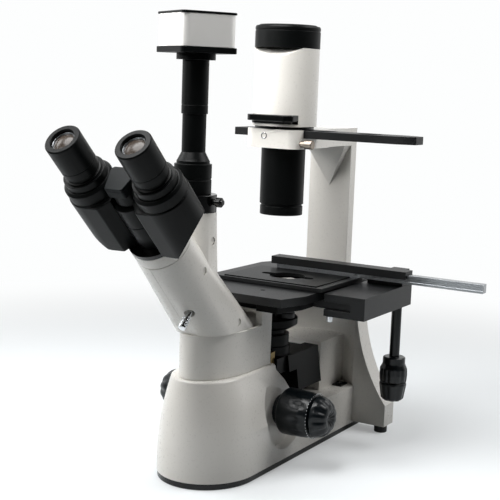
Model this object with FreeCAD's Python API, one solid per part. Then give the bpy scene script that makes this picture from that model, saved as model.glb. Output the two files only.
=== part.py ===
# Inverted trinocular microscope with a camera, in millimetres.
# The origin is on the optical axis at the table, +Z is up, +X is the user's right and +Y points away.
import FreeCAD, Part
import math
import os

V = FreeCAD.Vector

# Clearances, and how far a cutter goes past the face that it opens
RUN = 0.05
PLAY = 0.4
PAST = 1.0

# Inclined optical axis: from the mirror up to the eyepieces
TILT_DEG = 45.0
MIRROR_Z = 21.8

# Base and lower body
BASE_HALF = 50.5
BASE_FRONT = -184.0
BASE_NOSE = 57.0
BASE_REAR = 118.0
PLATE_T = 6.3
PLATE_INSET = 0.8
LEDGE_Z = 50.0
RIM_Z = 104.0
RIM_HALF = 34.5
RIM_FRONT = -173.5
RIM_NOSE = 41.0
RIM_REAR = -61.5
SHOULDER_Z = 98.0
BODY_WALL = 3.5

# Switch, dial and mains inlet
SWITCH_INSET = 14.5
SWITCH_Y = 89.0
SWITCH_HALF_X = 4.4
SWITCH_HALF_Y = 7.4
ROCKER_TILT = 8.0
DIAL_Y = 60.0
DIAL_Z = 30.0
DIAL_R = 11.0
DIAL_PIN_R = 3.0
INLET_X = 15.0
INLET_Z = 32.0
BOARD_GAP = 15.4
BOARD_T = 1.6

# Neck
NECK_HALF = 31.5
NECK_FRONT = -170.0
NECK_NOSE = 60.0
NECK_WALL = 3.0
NECK_TOP = 148.0
NECK_REAR = -65.5
POST_DEPTH = 20.0

# Focus drive
FOCUS_Y = -60.0
FOCUS_Z = 57.0
DISH_R = 38.5
DISH_FLOOR = 40.0
COARSE_R = 24.0
COARSE_IN = 41.0
COARSE_HUB = 7.0
COARSE_OUT = 83.5
FINE_R = 21.5
FINE_OUT = 101.0
TUBE_SHAFT_R = 6.0
PIN_SHAFT_R = 3.0
PINION_R = 7.7
MESH_GAP = 0.3
TOOTH_PITCH = 3.0
TOOTH_DEPTH = 1.3
TEETH = 16
RACK_X = 20.0
RACK_W = 8.0

# Rear tower and pillar
LEG_HALF = 91.0
LEG_FRONT = 95.0
LEG_Z = 8.0
LEG_TOP_Z = 33.0
TOWER_HALF = 50.0
TOWER_REAR = 142.0
REAR_HALF = 38.0
HOLLOW_R = 70.0
HOLLOW_Y = 45.0
HUMP_HALF = 28.5
HUMP_FRONT = 52.0
HUMP_TOP = 105.0
HUMP_WALL = 4.0
FOOT_R = 7.3
FOOT_INSET = 8.0
FOOT_Y = 104.0
PILLAR_HALF = 25.8
PILLAR_FRONT = 111.0
PILLAR_REAR = 131.0
PILLAR_CHAMFER = 7.0
PILLAR_WALL = 3.0
RIB_REACH = 15.0
RIB_DROP = 47.0

# Illumination arm and lamp
ARM_Z = 322.0
ARM_T = 19.5
ARM_HALF = 32.0
ARM_FRONT = -30.0
LAMP_R = 34.0
LAMP_H = 80.5
LAMP_WALL = 2.5
FACET_DROP = 10.0
FACET_REACH = 18.0
CAP_H = 24.0
CAP_LIP = 0.2
CAP_ROOM = 6.0
BULB_Y = 4.0
FLANGE_INSET = 0.6
FLANGE_T = 3.0
CONDENSER_R = 23.3
CONDENSER_H = 71.0
CONDENSER_WALL = 3.0
SLIDER_W = 32.0
SLIDER_T = 8.0
SLIDER_LEFT = -51.5
SLIDER_RIGHT = 154.0
SLIDER_PITCH = 50.0
TRAY_HALF = 27.0
TRAY_REAR = 22.0
LENS_R = 17.0
SHELF_RISE = 30.0
SHELF_T = 3.0
KNOB_Y = -21.0
KNOB_RISE = 5.5
KNOB_PIN_R = 2.0
TRAY_FRONT = -38.0
TRAY_T = 9.0
TRAY_CORNER = 9.0
TRAY_STEP = 3.5
TRAY_STEP_H = 2.7
FILTER_R = 17.3

# Stage
STAGE_TOP = 180.5
STAGE_T = 8.5
STAGE_HALF = 72.0
STAGE_FRONT = -103.0
STAGE_REAR = 110.5
STAGE_HOLE_R = 20.0
FRAME_INSET = 9.0
FRAME_T = 8.5
TURRET_Y = -22.0
GUIDE_X0 = 63.0
GUIDE_RISE = 0.5
BLOCK_X0 = 77.5
BLOCK_X1 = 123.0
BLOCK_Y0 = -42.0
BLOCK_Y1 = 76.0
BLOCK_DROP = 0.5
BLOCK_H = 23.0
DRIVE_X = 114.8
DRIVE_Y = 58.0
DRIVE_TUBE_R = 5.4
KNOB_SPLIT = 74.0
GEAR_RISE = 7.5
GEAR_H = 5.0
BAR_X0 = -30.0
BAR_X1 = 132.0
BAR_Y0 = 36.0
BAR_Y1 = 54.0
BAR_RISE = 9.5
BAR_T = 8.2
RAIL_Y0 = 40.0
RAIL_Y1 = 50.0
RAIL_T = 9.3
RAIL_X0 = -25.0
RAIL_X1 = 215.0
HOLDER_RISE = 0.5
HOLDER_T = 4.2
PLATE_X0 = -42.0
PLATE_X1 = 68.5
PLATE_Y0 = -43.0
PLATE_Y1 = 34.5
PLATE_PROUD = 1.0
DISH_HOLE_R = 19.0
HOLE_X = 14.0
HOLE_Y = -5.0

# Nosepiece
TURRET_R = 33.0
TURRET_Z0 = 132.0
TURRET_Z1 = 145.0
OBJECTIVE_CIRCLE = 22.0
OBJECTIVE_HEIGHTS = [23.0, 20.0, 16.5, 13.0]
GUIDE_HALF = 12.0
GUIDE_Y = 34.0
CARRIER_HALF = 27.0
CARRIER_LOW = 64.0
CARRIER_Z0 = 87.0
CARRIER_TOP = 114.0
COLLAR_R = 24.5
COLLAR_TOP = 126.0
COLLAR_NECK_R = 20.5
PIVOT_R = 6.0

# Head, along the inclined axis (s) and across it (q)
HEAD_TOP_S = 307.0
COLLAR_TOP_S = 320.0
HEAD_R = 27.0
HEAD_LOW_HALF = 30.5
HEAD_LOW_Q = 31.0
HEAD_WALL = 3.0
PORT_Y = -171.2
PORT_TOP = 267.5
PORT_R = 23.5
PORT_LOW_R = 26.5
PORT_LOW_Z = 196.0
ROD_X = 13.0
ROD_S = 242.0
ROD_R = 2.6
GRIP_R = 4.0
GRIP_Q = -44.0
ROD_BUSH_Q = -17.5
LIGHT_R = 7.5
RELAY_S = 160.0

# Binocular head
EYE_HALF = 37.0
BINO_R = 27.0
BARREL_R = 12.0
ARM_S0 = 325.0
ARM_S1 = 384.5
PRISM_R = 24.0
CHEEK_X = 20.6
CHEEK_Q = 23.5
UNDERCUT_X = 38.0
UNDERCUT_SLOPE = 1.2
HUB_R = 17.5
HUB_SPLIT = 352.0
HUB_TOP = 375.0
SLEEVE_R = 17.0
SLEEVE_BORE = 15.0
SLEEVE_TOP = 404.0
SEAT_R = 19.5
SEAT_S = 397.2
BORE_S = 366.0
DIOPTER_R = 23.0
DIOPTER_NOTCHES = 36
EYE_R = 16.5
EYE_TOP = 445.0
EYE_NECK = 5.0
GLASS_R = 10.2
FACE_S = 389.0
FACE_TOP = 400.5
FACE_NECK_R = 13.4

# Camera and its tube
CLAMP_H = 16.5
CLAMP_BORE_R = 16.5
SCREW_PIN_R = 1.6
SCREW_DROP = 6.0
PHOTO_BORE_R = 9.0
CAMERA_SIDE = 57.0
CAMERA_TURN = -29.8
CAMERA_RISE = 129.5
CAMERA_BASE_T = 5.5
CAMERA_H = 37.0
CAMERA_LID_T = 2.2

# Worked out from the sizes above
SWITCH_X = BASE_HALF - SWITCH_INSET
FOOT_X = LEG_HALF - FOOT_INSET
FLANGE_R = ARM_HALF - FLANGE_INSET
RACK_Y = FOCUS_Y + PINION_R + MESH_GAP
ARM_TOP = ARM_Z + ARM_T
LAMP_Z = ARM_TOP + FLANGE_T
SHELF_Z = LAMP_Z + SHELF_RISE
LAMP_TOP = LAMP_Z + LAMP_H
CAP_TOP = LAMP_TOP + CAP_H
CONDENSER_Z = ARM_Z - CONDENSER_H
KNOB_Z = ARM_Z + KNOB_RISE
STAGE_Z0 = STAGE_TOP - STAGE_T
FRAME_Z0 = STAGE_Z0 - FRAME_T
TOWER_TOP = FRAME_Z0
GUIDE_Z0 = FRAME_Z0 + GUIDE_RISE
GUIDE_X1 = DRIVE_X - PINION_R - MESH_GAP
BLOCK_Z1 = STAGE_TOP - BLOCK_DROP
BLOCK_Z0 = BLOCK_Z1 - BLOCK_H
GEAR_Z0 = STAGE_TOP + GEAR_RISE
BAR_Z0 = STAGE_TOP + BAR_RISE
BAR_Z1 = BAR_Z0 + BAR_T
HOLDER_Z0 = STAGE_TOP + HOLDER_RISE
HOLDER_Z1 = HOLDER_Z0 + HOLDER_T
RAIL_Z1 = HOLDER_Z1 + RAIL_T
PLATE_TOP = HOLDER_Z1 + PLATE_PROUD
CLAMP_TOP = PORT_TOP + CLAMP_H
CAMERA_Z = CLAMP_TOP + CAMERA_RISE
CAMERA_TOP_Z = CAMERA_Z + CAMERA_H

PARTS = {}


def box(x0, x1, y0, y1, z0, z1):
    return Part.makeBox(x1 - x0, y1 - y0, z1 - z0, V(x0, y0, z0))


def rod(r, x, y, z0, z1):
    return Part.makeCylinder(r, z1 - z0, V(x, y, z0))


def rod_x(r, y, z, x0, x1):
    return Part.makeCylinder(r, x1 - x0, V(x0, y, z), V(1, 0, 0))


# A round cutter that goes past both faces
def bore(r, x, y, z0, z1):
    return rod(r, x, y, z0 - PAST, z1 + PAST)


def tube(r_out, r_in, x, y, z0, z1):
    return rod(r_out, x, y, z0, z1).cut(bore(r_in, x, y, z0, z1))


def cone(r0, r1, x, y, z0, z1):
    return Part.makeCone(r0, r1, z1 - z0, V(x, y, z0))


# A prism from an outline of (a, b) points: in XY rising along Z, or in YZ running along X
def prism_z(points, z0, z1):
    wire = Part.makePolygon([V(x, y, z0) for x, y in points] + [V(points[0][0], points[0][1], z0)])
    return Part.Face(wire).extrude(V(0, 0, z1 - z0))


def prism_x(points, x0, x1):
    wire = Part.makePolygon([V(x0, y, z) for y, z in points] + [V(x0, points[0][0], points[0][1])])
    return Part.Face(wire).extrude(V(x1 - x0, 0, 0))


# A turned shape: (radius, height) points about a vertical axis through x, y
def turned(points, x, y):
    wire = Part.makePolygon([V(x + r, y, z) for r, z in points] + [V(x + points[0][0], y, points[0][1])])
    return Part.Face(wire).revolve(V(x, y, 0), V(0, 0, 1), 360)


# Rounded rectangle in plan, centred at cx, cy
def round_wire(half_x, half_y, corner, cx, cy, z):
    r = corner
    edges = []
    corners = [(1, 1, 0), (-1, 1, 90), (-1, -1, 180), (1, -1, 270)]
    ends = []
    for sx, sy, start in corners:
        centre = V(cx + sx * (half_x - r), cy + sy * (half_y - r), z)
        arc = Part.makeCircle(r, centre, V(0, 0, 1), start, start + 90)
        ends.append((arc.valueAt(arc.FirstParameter), arc.valueAt(arc.LastParameter), arc))
    for i, (first, last, arc) in enumerate(ends):
        edges.append(arc)
        edges.append(Part.makeLine(last, ends[(i + 1) % 4][0]))
    return Part.Wire(edges)


def round_prism(half_x, half_y, corner, cx, cy, z0, z1):
    return Part.Face(round_wire(half_x, half_y, corner, cx, cy, z0)).extrude(V(0, 0, z1 - z0))


# Plan outline with a half-ellipse front: the front point, the ellipse's length and a flat rear
def nose_wire(half, front, nose, rear, z):
    centre = V(0, front + nose, z)
    ellipse = Part.Ellipse(V(0, front, z), centre + V(half, 0, 0), centre)
    arc = Part.ArcOfEllipse(ellipse, -math.pi / 2, math.pi / 2).toShape()
    left = V(-half, front + nose, z)
    right = V(half, front + nose, z)
    back_right = V(half, rear, z)
    back_left = V(-half, rear, z)
    lines = [Part.makeLine(right, back_right), Part.makeLine(back_right, back_left), Part.makeLine(back_left, left)]
    return Part.Wire([arc] + lines)


def nose_prism(half, front, nose, rear, z0, z1):
    return Part.Face(nose_wire(half, front, nose, rear, z0)).extrude(V(0, 0, z1 - z0))


# Place along the inclined axis of a height above the table
def axis_s(z):
    return (z - MIRROR_Z) / math.cos(math.radians(TILT_DEG))


# From the inclined frame (x, q across, s along) to the row's frame
def incline(shape):
    moved = shape.copy()
    moved.rotate(V(0, 0, 0), V(1, 0, 0), TILT_DEG)
    moved.translate(V(0, 0, MIRROR_Z))
    return moved


# A toothed wheel along Z whose teeth stay inside the given tip radius
def gear(tip, depth, teeth, x, y, z0, z1):
    wheel = rod(tip, x, y, z0, z1)
    half = math.pi * tip / teeth / 2
    slots = []
    for i in range(teeth):
        a = 2 * math.pi * i / teeth
        cut = box(tip - depth, tip + 1, -half / 1.2, half / 1.2, z0 - 1, z1 + 1)
        cut.rotate(V(0, 0, 0), V(0, 0, 1), math.degrees(a))
        cut.translate(V(x, y, 0))
        slots.append(cut)
    return wheel.cut(Part.makeCompound(slots))


# Turns a shape made along Z so that it runs along X through y, z
def lay_along_x(shape, y, z):
    laid = shape.copy()
    laid.rotate(V(0, 0, 0), V(0, 1, 0), 90)
    laid.translate(V(0, y, z))
    return laid


def mirror_x(shape):
    return shape.mirror(V(0, 0, 0), V(1, 0, 0))


def keep(name, shape):
    solid = shape.removeSplitter() if len(shape.Solids) == 1 else shape
    PARTS[name] = solid


# Base

def shoulder_cut(inset):
    drop = inset * math.sqrt(2)
    rear = RIM_REAR - inset
    line = SHOULDER_Z + RIM_REAR - drop
    low = LEDGE_Z - inset
    points = [(rear, RIM_Z + 20), (rear, line - rear), (line - low, low), (60, low), (60, RIM_Z + 20)]
    return prism_x(points, -BASE_HALF - 10, BASE_HALF + 10)


def body_form(inset):
    low = nose_prism(BASE_HALF - inset, BASE_FRONT + inset, BASE_NOSE - inset, BASE_REAR - inset, PLATE_T,
                     LEDGE_Z - inset)
    bottom = nose_wire(BASE_HALF - inset, BASE_FRONT + inset, BASE_NOSE - inset, 0, LEDGE_Z - inset)
    top = nose_wire(RIM_HALF - inset, RIM_FRONT + inset, RIM_NOSE - inset, 0, RIM_Z - inset)
    high = Part.makeLoft([bottom, top], True, True)
    return low, high.cut(shoulder_cut(inset))


def base_body():
    low, high = body_form(0)
    outer = low.fuse(high)
    in_low, in_high = body_form(BODY_WALL)
    body = outer.cut(in_low.fuse(in_high))
    floor = DISH_FLOOR - BODY_WALL
    bosses = rod_x(DISH_R + 3, FOCUS_Y, FOCUS_Z, -BASE_HALF, BASE_HALF)
    bosses = bosses.cut(box(-floor, floor, BASE_FRONT, -BASE_FRONT, 0, RIM_Z + DISH_R))
    body = body.fuse(bosses.common(outer))
    for side in (-1, 1):
        x0, x1 = sorted((side * DISH_FLOOR, side * 70))
        body = body.cut(rod_x(DISH_R, FOCUS_Y, FOCUS_Z, x0, x1))
        x0, x1 = sorted((side * 30, side * (DISH_FLOOR + 1)))
        body = body.cut(rod_x(TUBE_SHAFT_R + RUN, FOCUS_Y, FOCUS_Z, x0, x1))
    body = body.cut(box(-14, 14, -106, NECK_REAR - NECK_WALL - PAST, RIM_Z - 10, RIM_Z + 5))
    body = body.cut(rod(12, 0, 0, LEDGE_Z - 10, LEDGE_Z + 5))
    slot = RACK_W / 2 + 1
    body = body.cut(box(RACK_X - slot, RACK_X + slot, RACK_Y - 1, RACK_Y + 8, LEDGE_Z - 10, RIM_Z + 10))
    wide = SWITCH_HALF_X + 0.2
    long = SWITCH_HALF_Y + 0.2
    hole = box(SWITCH_X - wide, SWITCH_X + wide, SWITCH_Y - long, SWITCH_Y + long, LEDGE_Z - 10, LEDGE_Z + 5)
    body = body.cut(hole)
    body = body.cut(rod_x(DIAL_PIN_R + RUN, DIAL_Y, DIAL_Z, -60, -40))
    return body


def base_plate():
    inset = PLATE_INSET
    return nose_prism(BASE_HALF - inset, BASE_FRONT + inset, BASE_NOSE - inset, BASE_REAR - inset, 0, PLATE_T)


def mirror_mount():
    normal = V(0, -math.sin(math.radians(22.5)), math.cos(math.radians(22.5)))
    mount = box(-15, 15, -16, 16, PLATE_T, 40)
    cutter = Part.makeCylinder(60, 60, V(0, 0, MIRROR_Z) - normal * 4, normal)
    glass = Part.makeCylinder(12, 4, V(0, 0, MIRROR_Z) - normal * 4, normal)
    return Part.makeCompound([mount.cut(cutter), glass])


# Switch and dial

def switch_bezel():
    wide = SWITCH_HALF_X
    long = SWITCH_HALF_Y
    bezel = round_prism(wide + 1.6, long + 1.6, 1.2, SWITCH_X, SWITCH_Y, LEDGE_Z, LEDGE_Z + 1.6)
    body = box(SWITCH_X - wide, SWITCH_X + wide, SWITCH_Y - long, SWITCH_Y + long, LEDGE_Z - 14, LEDGE_Z)
    well = box(SWITCH_X - wide + 1, SWITCH_X + wide - 1, SWITCH_Y - long + 1, SWITCH_Y + long - 1, LEDGE_Z - 5.5,
               LEDGE_Z + 5)
    return bezel.fuse(body).cut(well)


def switch_rocker():
    y = SWITCH_Y
    z = LEDGE_Z
    end = SWITCH_HALF_Y - 1.8
    half = SWITCH_HALF_X - 1.3
    points = [(y - end, z + 2.8), (y, z + 1.7), (y + end, z + 2.8), (y + end - 0.3, z - 1), (y + 2, z - 3.8),
              (y - 2, z - 3.8), (y - end + 0.3, z - 1)]
    rocker = prism_x(points, SWITCH_X - half, SWITCH_X + half)
    rocker.rotate(V(0, y, z - 1), V(1, 0, 0), -ROCKER_TILT)
    return rocker


def brightness_dial():
    knob = rod_x(DIAL_R, DIAL_Y, DIAL_Z, -BASE_HALF - 13, -BASE_HALF - 0.5)
    pin = rod_x(DIAL_PIN_R, DIAL_Y, DIAL_Z, -BASE_HALF - 1, -BASE_HALF + 12)
    rim = rod_x(DIAL_R - 3, DIAL_Y, DIAL_Z, -BASE_HALF - 14.5, -BASE_HALF - 13)
    return knob.fuse(pin).fuse(rim)


# Neck with the post that carries the stage's front

def neck_shell():
    wall = NECK_WALL
    outer = nose_prism(NECK_HALF, NECK_FRONT, NECK_NOSE, NECK_REAR, RIM_Z, NECK_TOP)
    inner = nose_prism(NECK_HALF - wall, NECK_FRONT + wall, NECK_NOSE - wall, NECK_REAR - wall, RIM_Z - PAST,
                       NECK_TOP + PAST)
    front = NECK_REAR - POST_DEPTH
    post = box(-NECK_HALF, NECK_HALF, front, NECK_REAR, NECK_TOP - 12, FRAME_Z0)
    window = box(-NECK_HALF + 8, NECK_HALF - 8, front - PAST, NECK_REAR - 4, NECK_TOP - 20, FRAME_Z0 - 4)
    return outer.cut(inner).fuse(post.cut(window))


# Rear tower: a bell-shaped front with splayed legs, a box behind it for the electronics and one before it that
# carries the focus guide

def tower_profile():
    half = TOWER_HALF
    leg = LEG_HALF
    rise = TOWER_TOP - LEG_TOP_Z
    places = [(leg, 0), (half + 19, 0.275), (half + 5.5, 0.57), (half, 1)]
    flank_points = [V(x, 0, LEG_TOP_Z + share * rise) for x, share in places]
    curve = Part.BSplineCurve()
    curve.interpolate(flank_points)
    flank = curve.toShape()
    left = flank.mirror(V(0, 0, 0), V(1, 0, 0))
    edges = [Part.makeLine(V(leg, 0, LEG_Z), flank_points[0]), flank,
             Part.makeLine(flank_points[-1], V(-half, 0, TOWER_TOP)), left,
             Part.makeLine(V(-leg, 0, LEG_TOP_Z), V(-leg, 0, LEG_Z)),
             Part.makeLine(V(-leg, 0, LEG_Z), V(leg, 0, LEG_Z))]
    return Part.Face(Part.Wire(edges))


def rear_tower():
    bell = tower_profile()
    bell.translate(V(0, LEG_FRONT, 0))
    front = bell.extrude(V(0, BASE_REAR - LEG_FRONT + 1, 0))
    hollow = rod(HOLLOW_R, 0, HOLLOW_Y, LEDGE_Z - PAST, TOWER_TOP + PAST)
    front = front.cut(hollow)
    front = front.cut(box(-BASE_HALF, BASE_HALF, LEG_FRONT - PAST, BASE_REAR, 0, LEDGE_Z))
    depth = (TOWER_REAR - BASE_REAR) / 2
    rear = round_prism(REAR_HALF, depth + 6, 6, 0, (TOWER_REAR + BASE_REAR) / 2 - 6, LEG_Z, TOWER_TOP)
    rear = rear.cut(box(-REAR_HALF, REAR_HALF, LEG_FRONT, BASE_REAR, 0, TOWER_TOP + PAST))
    room = box(-REAR_HALF + 4, REAR_HALF - 4, BASE_REAR + 4, TOWER_REAR - 4, LEG_Z + 4, TOWER_TOP - 5)
    tower = front.fuse(rear).cut(room)
    legs_room = box(-LEG_HALF + 4, LEG_HALF - 4, LEG_FRONT + 4, BASE_REAR - 4, 0, LEG_TOP_Z - 6)
    legs_room = legs_room.cut(box(-BASE_HALF - 4, BASE_HALF + 4, LEG_FRONT, BASE_REAR, 0, LEG_TOP_Z))
    tower = tower.cut(legs_room)
    for side in (-1, 1):
        tower = tower.fuse(rod(FOOT_R + 1, side * FOOT_X, FOOT_Y, LEG_Z, LEG_TOP_Z))
    inlet = box(INLET_X - 13.7, INLET_X + 13.7, TOWER_REAR - 5, TOWER_REAR + PAST, INLET_Z - 10.2, INLET_Z + 10.2)
    wall = HUMP_WALL
    hump = box(-HUMP_HALF, HUMP_HALF, HUMP_FRONT, BASE_REAR, LEDGE_Z, HUMP_TOP)
    half = HUMP_HALF - wall
    hump_room = box(-half, half, HUMP_FRONT + wall, BASE_REAR, LEDGE_Z - PAST, HUMP_TOP - wall)
    return tower.cut(inlet).fuse(hump.cut(hump_room.common(hollow)))


def mains_inlet():
    face = box(INLET_X - 16, INLET_X + 16, TOWER_REAR, TOWER_REAR + 2, INLET_Z - 13, INLET_Z + 13)
    body = box(INLET_X - 13.5, INLET_X + 13.5, TOWER_REAR - 16, TOWER_REAR, INLET_Z - 10, INLET_Z + 10)
    socket = box(INLET_X - 11.7, INLET_X + 11.7, TOWER_REAR - 14, TOWER_REAR + 3, INLET_Z - 8.2, INLET_Z + 8.2)
    pins = []
    for dx, dz in ((-7, -2.5), (0, 2.5), (7, -2.5)):
        x = INLET_X + dx
        z = INLET_Z + dz
        pins.append(box(x - 1, x + 1, TOWER_REAR - 15, TOWER_REAR - 4, z - 2, z + 2))
    return face.fuse(body).cut(socket).fuse(pins)


def power_board():
    x0 = -REAR_HALF + 6
    z0 = LEG_Z + 4
    face = TOWER_REAR - BOARD_GAP
    board = box(x0, x0 + 28, face - BOARD_T, face, z0, z0 + 108)
    transformer = box(x0 + 4, x0 + 26, face, face + 9.4, z0 + 18, z0 + 46)
    cans = [rod(5, x0 + dx, face + 4.8, z0 + 54, z0 + 76) for dx in (10, 22)]
    terminals = box(x0 + 6, x0 + 18, face, face + 7.4, z0 + 84, z0 + 100)
    return board.fuse([transformer, terminals] + cans)


def rear_feet():
    feet = [turned([(0, 0), (FOOT_R, 0), (FOOT_R, LEG_Z), (0, LEG_Z)], side * FOOT_X, FOOT_Y) for side in (-1, 1)]
    return Part.makeCompound(feet)


# Plan of the pillar from a front line back to its chamfered rear
def pillar_plan(front):
    c = PILLAR_CHAMFER
    half = PILLAR_HALF
    return [(-half, front), (half, front), (half, PILLAR_REAR - c), (half - c, PILLAR_REAR), (-half + c, PILLAR_REAR),
            (-half, PILLAR_REAR - c)]


def pillar():
    depth = PILLAR_REAR - PILLAR_FRONT
    core = round_prism(PILLAR_HALF - PILLAR_WALL, depth / 2 - PILLAR_WALL, 3, 0, (PILLAR_FRONT + PILLAR_REAR) / 2,
                       TOWER_TOP - PAST, ARM_Z + PAST)
    column = prism_z(pillar_plan(PILLAR_FRONT), TOWER_TOP, ARM_Z).cut(core)
    half = PILLAR_HALF - 1
    a = V(-half, PILLAR_FRONT - RIB_REACH, ARM_Z)
    b = V(half, PILLAR_FRONT - RIB_REACH, ARM_Z)
    c = V(half, PILLAR_FRONT, ARM_Z)
    d = V(-half, PILLAR_FRONT, ARM_Z)
    apex = V(0, PILLAR_FRONT, ARM_Z - RIB_DROP)
    faces = [[a, b, c, d], [a, d, apex], [b, apex, c], [a, apex, b], [d, c, apex]]
    rib = Part.Solid(Part.Shell([Part.Face(Part.makePolygon(f + [f[0]])) for f in faces]))
    if rib.Volume < 0:
        rib.reverse()
    return column.fuse(rib)


def illumination_arm():
    middle = (PILLAR_FRONT + ARM_FRONT) / 2
    front = round_prism(ARM_HALF, (PILLAR_FRONT - ARM_FRONT) / 2, 12, 0, middle, ARM_Z, ARM_TOP)
    waist = []
    for side in (-1, 1):
        points = [(side * (PILLAR_HALF + 0.01), 60), (side * (ARM_HALF + 1), 34), (side * (ARM_HALF + 1), 140),
                  (side * PILLAR_HALF, 140)]
        waist.append(prism_z(points, ARM_Z - PAST, ARM_TOP + PAST))
    arm = front.cut(waist).fuse(prism_z(pillar_plan(60), ARM_Z, ARM_TOP))
    arm = arm.cut(bore(CONDENSER_R - CONDENSER_WALL, 0, 0, ARM_Z, ARM_TOP))
    slot_z = ARM_TOP - SLIDER_T - 0.3
    half = SLIDER_W / 2 + RUN
    arm = arm.cut(box(-ARM_HALF - PAST, ARM_HALF + PAST, -half, half, slot_z, ARM_TOP + PAST))
    arm = arm.cut(box(-PILLAR_HALF + 6, PILLAR_HALF - 6, 45, PILLAR_REAR - 5, ARM_Z - PAST, ARM_TOP - 4))
    return arm.cut(rod_x(KNOB_PIN_R + RUN, KNOB_Y, KNOB_Z, 22, ARM_HALF + PAST))


def arm_knob():
    head = rod_x(4.8, KNOB_Y, KNOB_Z, ARM_HALF + 5, ARM_HALF + 14)
    collar = rod_x(3.4, KNOB_Y, KNOB_Z, ARM_HALF + 0.5, ARM_HALF + 5)
    pin = rod_x(KNOB_PIN_R, KNOB_Y, KNOB_Z, 24, ARM_HALF + 0.5)
    return head.fuse(collar).fuse(pin)


def lamp_flange():
    return tube(FLANGE_R, FLANGE_R - 12, 0, 0, ARM_TOP, LAMP_Z)


def lamp_form(inset):
    form = rod(LAMP_R - inset, 0, 0, LAMP_Z, LAMP_TOP)
    front = -LAMP_R - 2
    high = LAMP_TOP + 5
    facet = prism_x([(front, LAMP_TOP - FACET_DROP - inset * 1.2), (front, high), (-FACET_REACH + inset, high),
                     (-FACET_REACH + inset, LAMP_TOP - inset)], -LAMP_R - PAST, LAMP_R + PAST)
    return form.cut(facet)


def lamp_housing():
    wide = LAMP_R + PAST
    room = lamp_form(LAMP_WALL).common(box(-wide, wide, -wide, wide, LAMP_Z - PAST, LAMP_TOP - LAMP_WALL))
    opening = rod(LAMP_R - LAMP_WALL - 6, 0, 8, LAMP_TOP - 8, LAMP_TOP + PAST)
    opening = opening.common(box(-wide, wide, -14, wide, LAMP_TOP - 8, LAMP_TOP + PAST))
    floor = tube(LAMP_R, 19, 0, 0, LAMP_Z, LAMP_Z + LAMP_WALL)
    slot_top = LAMP_Z + LAMP_WALL + TRAY_T + 0.6
    slot = box(-TRAY_HALF - 0.3, TRAY_HALF + 0.3, -wide, TRAY_REAR + 0.5, LAMP_Z + LAMP_WALL, slot_top)
    shelf = tube(LAMP_R - 0.5, LENS_R - 2, 0, 0, SHELF_Z, SHELF_Z + SHELF_T)
    return lamp_form(0).cut(room).cut(opening).fuse(floor).cut(slot).fuse(shelf)


def tray_plan(inset, z0, z1):
    depth = TRAY_REAR - TRAY_FRONT
    return round_prism(TRAY_HALF - inset, depth / 2 - inset, TRAY_CORNER, 0, (TRAY_REAR + TRAY_FRONT) / 2, z0, z1)


def filter_tray():
    z0 = LAMP_Z + LAMP_WALL + 0.3
    z1 = z0 + TRAY_T
    tray = tray_plan(TRAY_STEP, z0, z0 + TRAY_STEP_H).fuse(tray_plan(0, z0 + TRAY_STEP_H, z1))
    inside = bore(LAMP_R - LAMP_WALL - PLAY, 0, 0, z0, z1)
    front = box(-TRAY_HALF - 1, TRAY_HALF + 1, TRAY_FRONT - 1, -15, z0 - PAST, z1 + PAST)
    tray = tray.common(inside.fuse(front))
    seat = rod(FILTER_R + 0.2, 0, 0, z0 + 3, z1 + PAST)
    glass = rod(FILTER_R, 0, 0, z0 + 3, z0 + 6)
    return Part.makeCompound([tray.cut(seat).cut(bore(FILTER_R - 1.8, 0, 0, z0, z1)), glass])


def lamp_cap():
    z0 = LAMP_TOP
    z1 = CAP_TOP
    r = LAMP_R + CAP_LIP
    body = turned([(0, z0), (r, z0), (r, z1 - 3), (r - 1, z1 - 1.2), (r - 3.5, z1 - 1), (r - 4.5, z1), (0, z1)], 0, 0)
    room = rod(r - 3, 0, 2, z0 - PAST, z1 - CAP_ROOM)
    ledge = box(-r, r, -r, -FACET_REACH + 1.5, z0 - 2, z0 + 2.5)
    groove = tube(r + PAST, r - 0.7, 0, 0, z1 - 6.5, z1 - 5.5)
    return body.cut(room.cut(ledge)).cut(groove)


def lamp_holder():
    z1 = CAP_TOP - CAP_ROOM
    stem = rod(8, 0, BULB_Y, LAMP_TOP - 14, z1 - 6)
    plate = rod(LAMP_R - 9, 0, BULB_Y, z1 - 6, z1)
    return stem.fuse(plate).cut(box(-3.2, 3.2, BULB_Y - 2, BULB_Y + 2, LAMP_TOP - 15, LAMP_TOP - 6))


def lamp_bulb():
    z = LAMP_TOP - 6
    pins = box(-3, 3, BULB_Y - 1.8, BULB_Y + 1.8, z - 8, z)
    glass = Part.makeSphere(6, V(0, BULB_Y, z - 16)).fuse(rod(5, 0, BULB_Y, z - 16, z - 8))
    return glass.fuse(pins)


# Turned plano-convex lens, flat side down
def lens(r, x, y, z0, edge, crown):
    sphere_r = (r * r + crown * crown) / (2 * crown)
    ball = Part.makeSphere(sphere_r, V(x, y, z0 + edge + crown - sphere_r))
    return rod(r, x, y, z0, z0 + edge + crown + 1).common(ball.fuse(rod(r, x, y, z0, z0 + edge)))


def light_lenses():
    collector = lens(LENS_R, 0, 0, SHELF_Z + SHELF_T, 3, 5)
    field = lens(CONDENSER_R - CONDENSER_WALL, 0, 0, CONDENSER_Z + 14, 3, 4)
    relay = incline(lens(LIGHT_R, 0, 0, RELAY_S, 2.5, 1.5))
    return Part.makeCompound([collector, field, relay])


def condenser_tube():
    r = CONDENSER_R
    z = CONDENSER_Z
    seat = r - CONDENSER_WALL
    points = [(seat - 3, z), (r - 0.6, z), (r - 0.6, z + 9), (r - 1.6, z + 9.6), (r - 1.6, z + 11), (r, z + 11.6),
              (r, ARM_Z), (seat, ARM_Z), (seat, z + 14), (seat - 3, z + 14)]
    return turned(points, 0, 0)


def slider_levels():
    z1 = ARM_TOP - 0.25
    return z1 - SLIDER_T, z1


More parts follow.
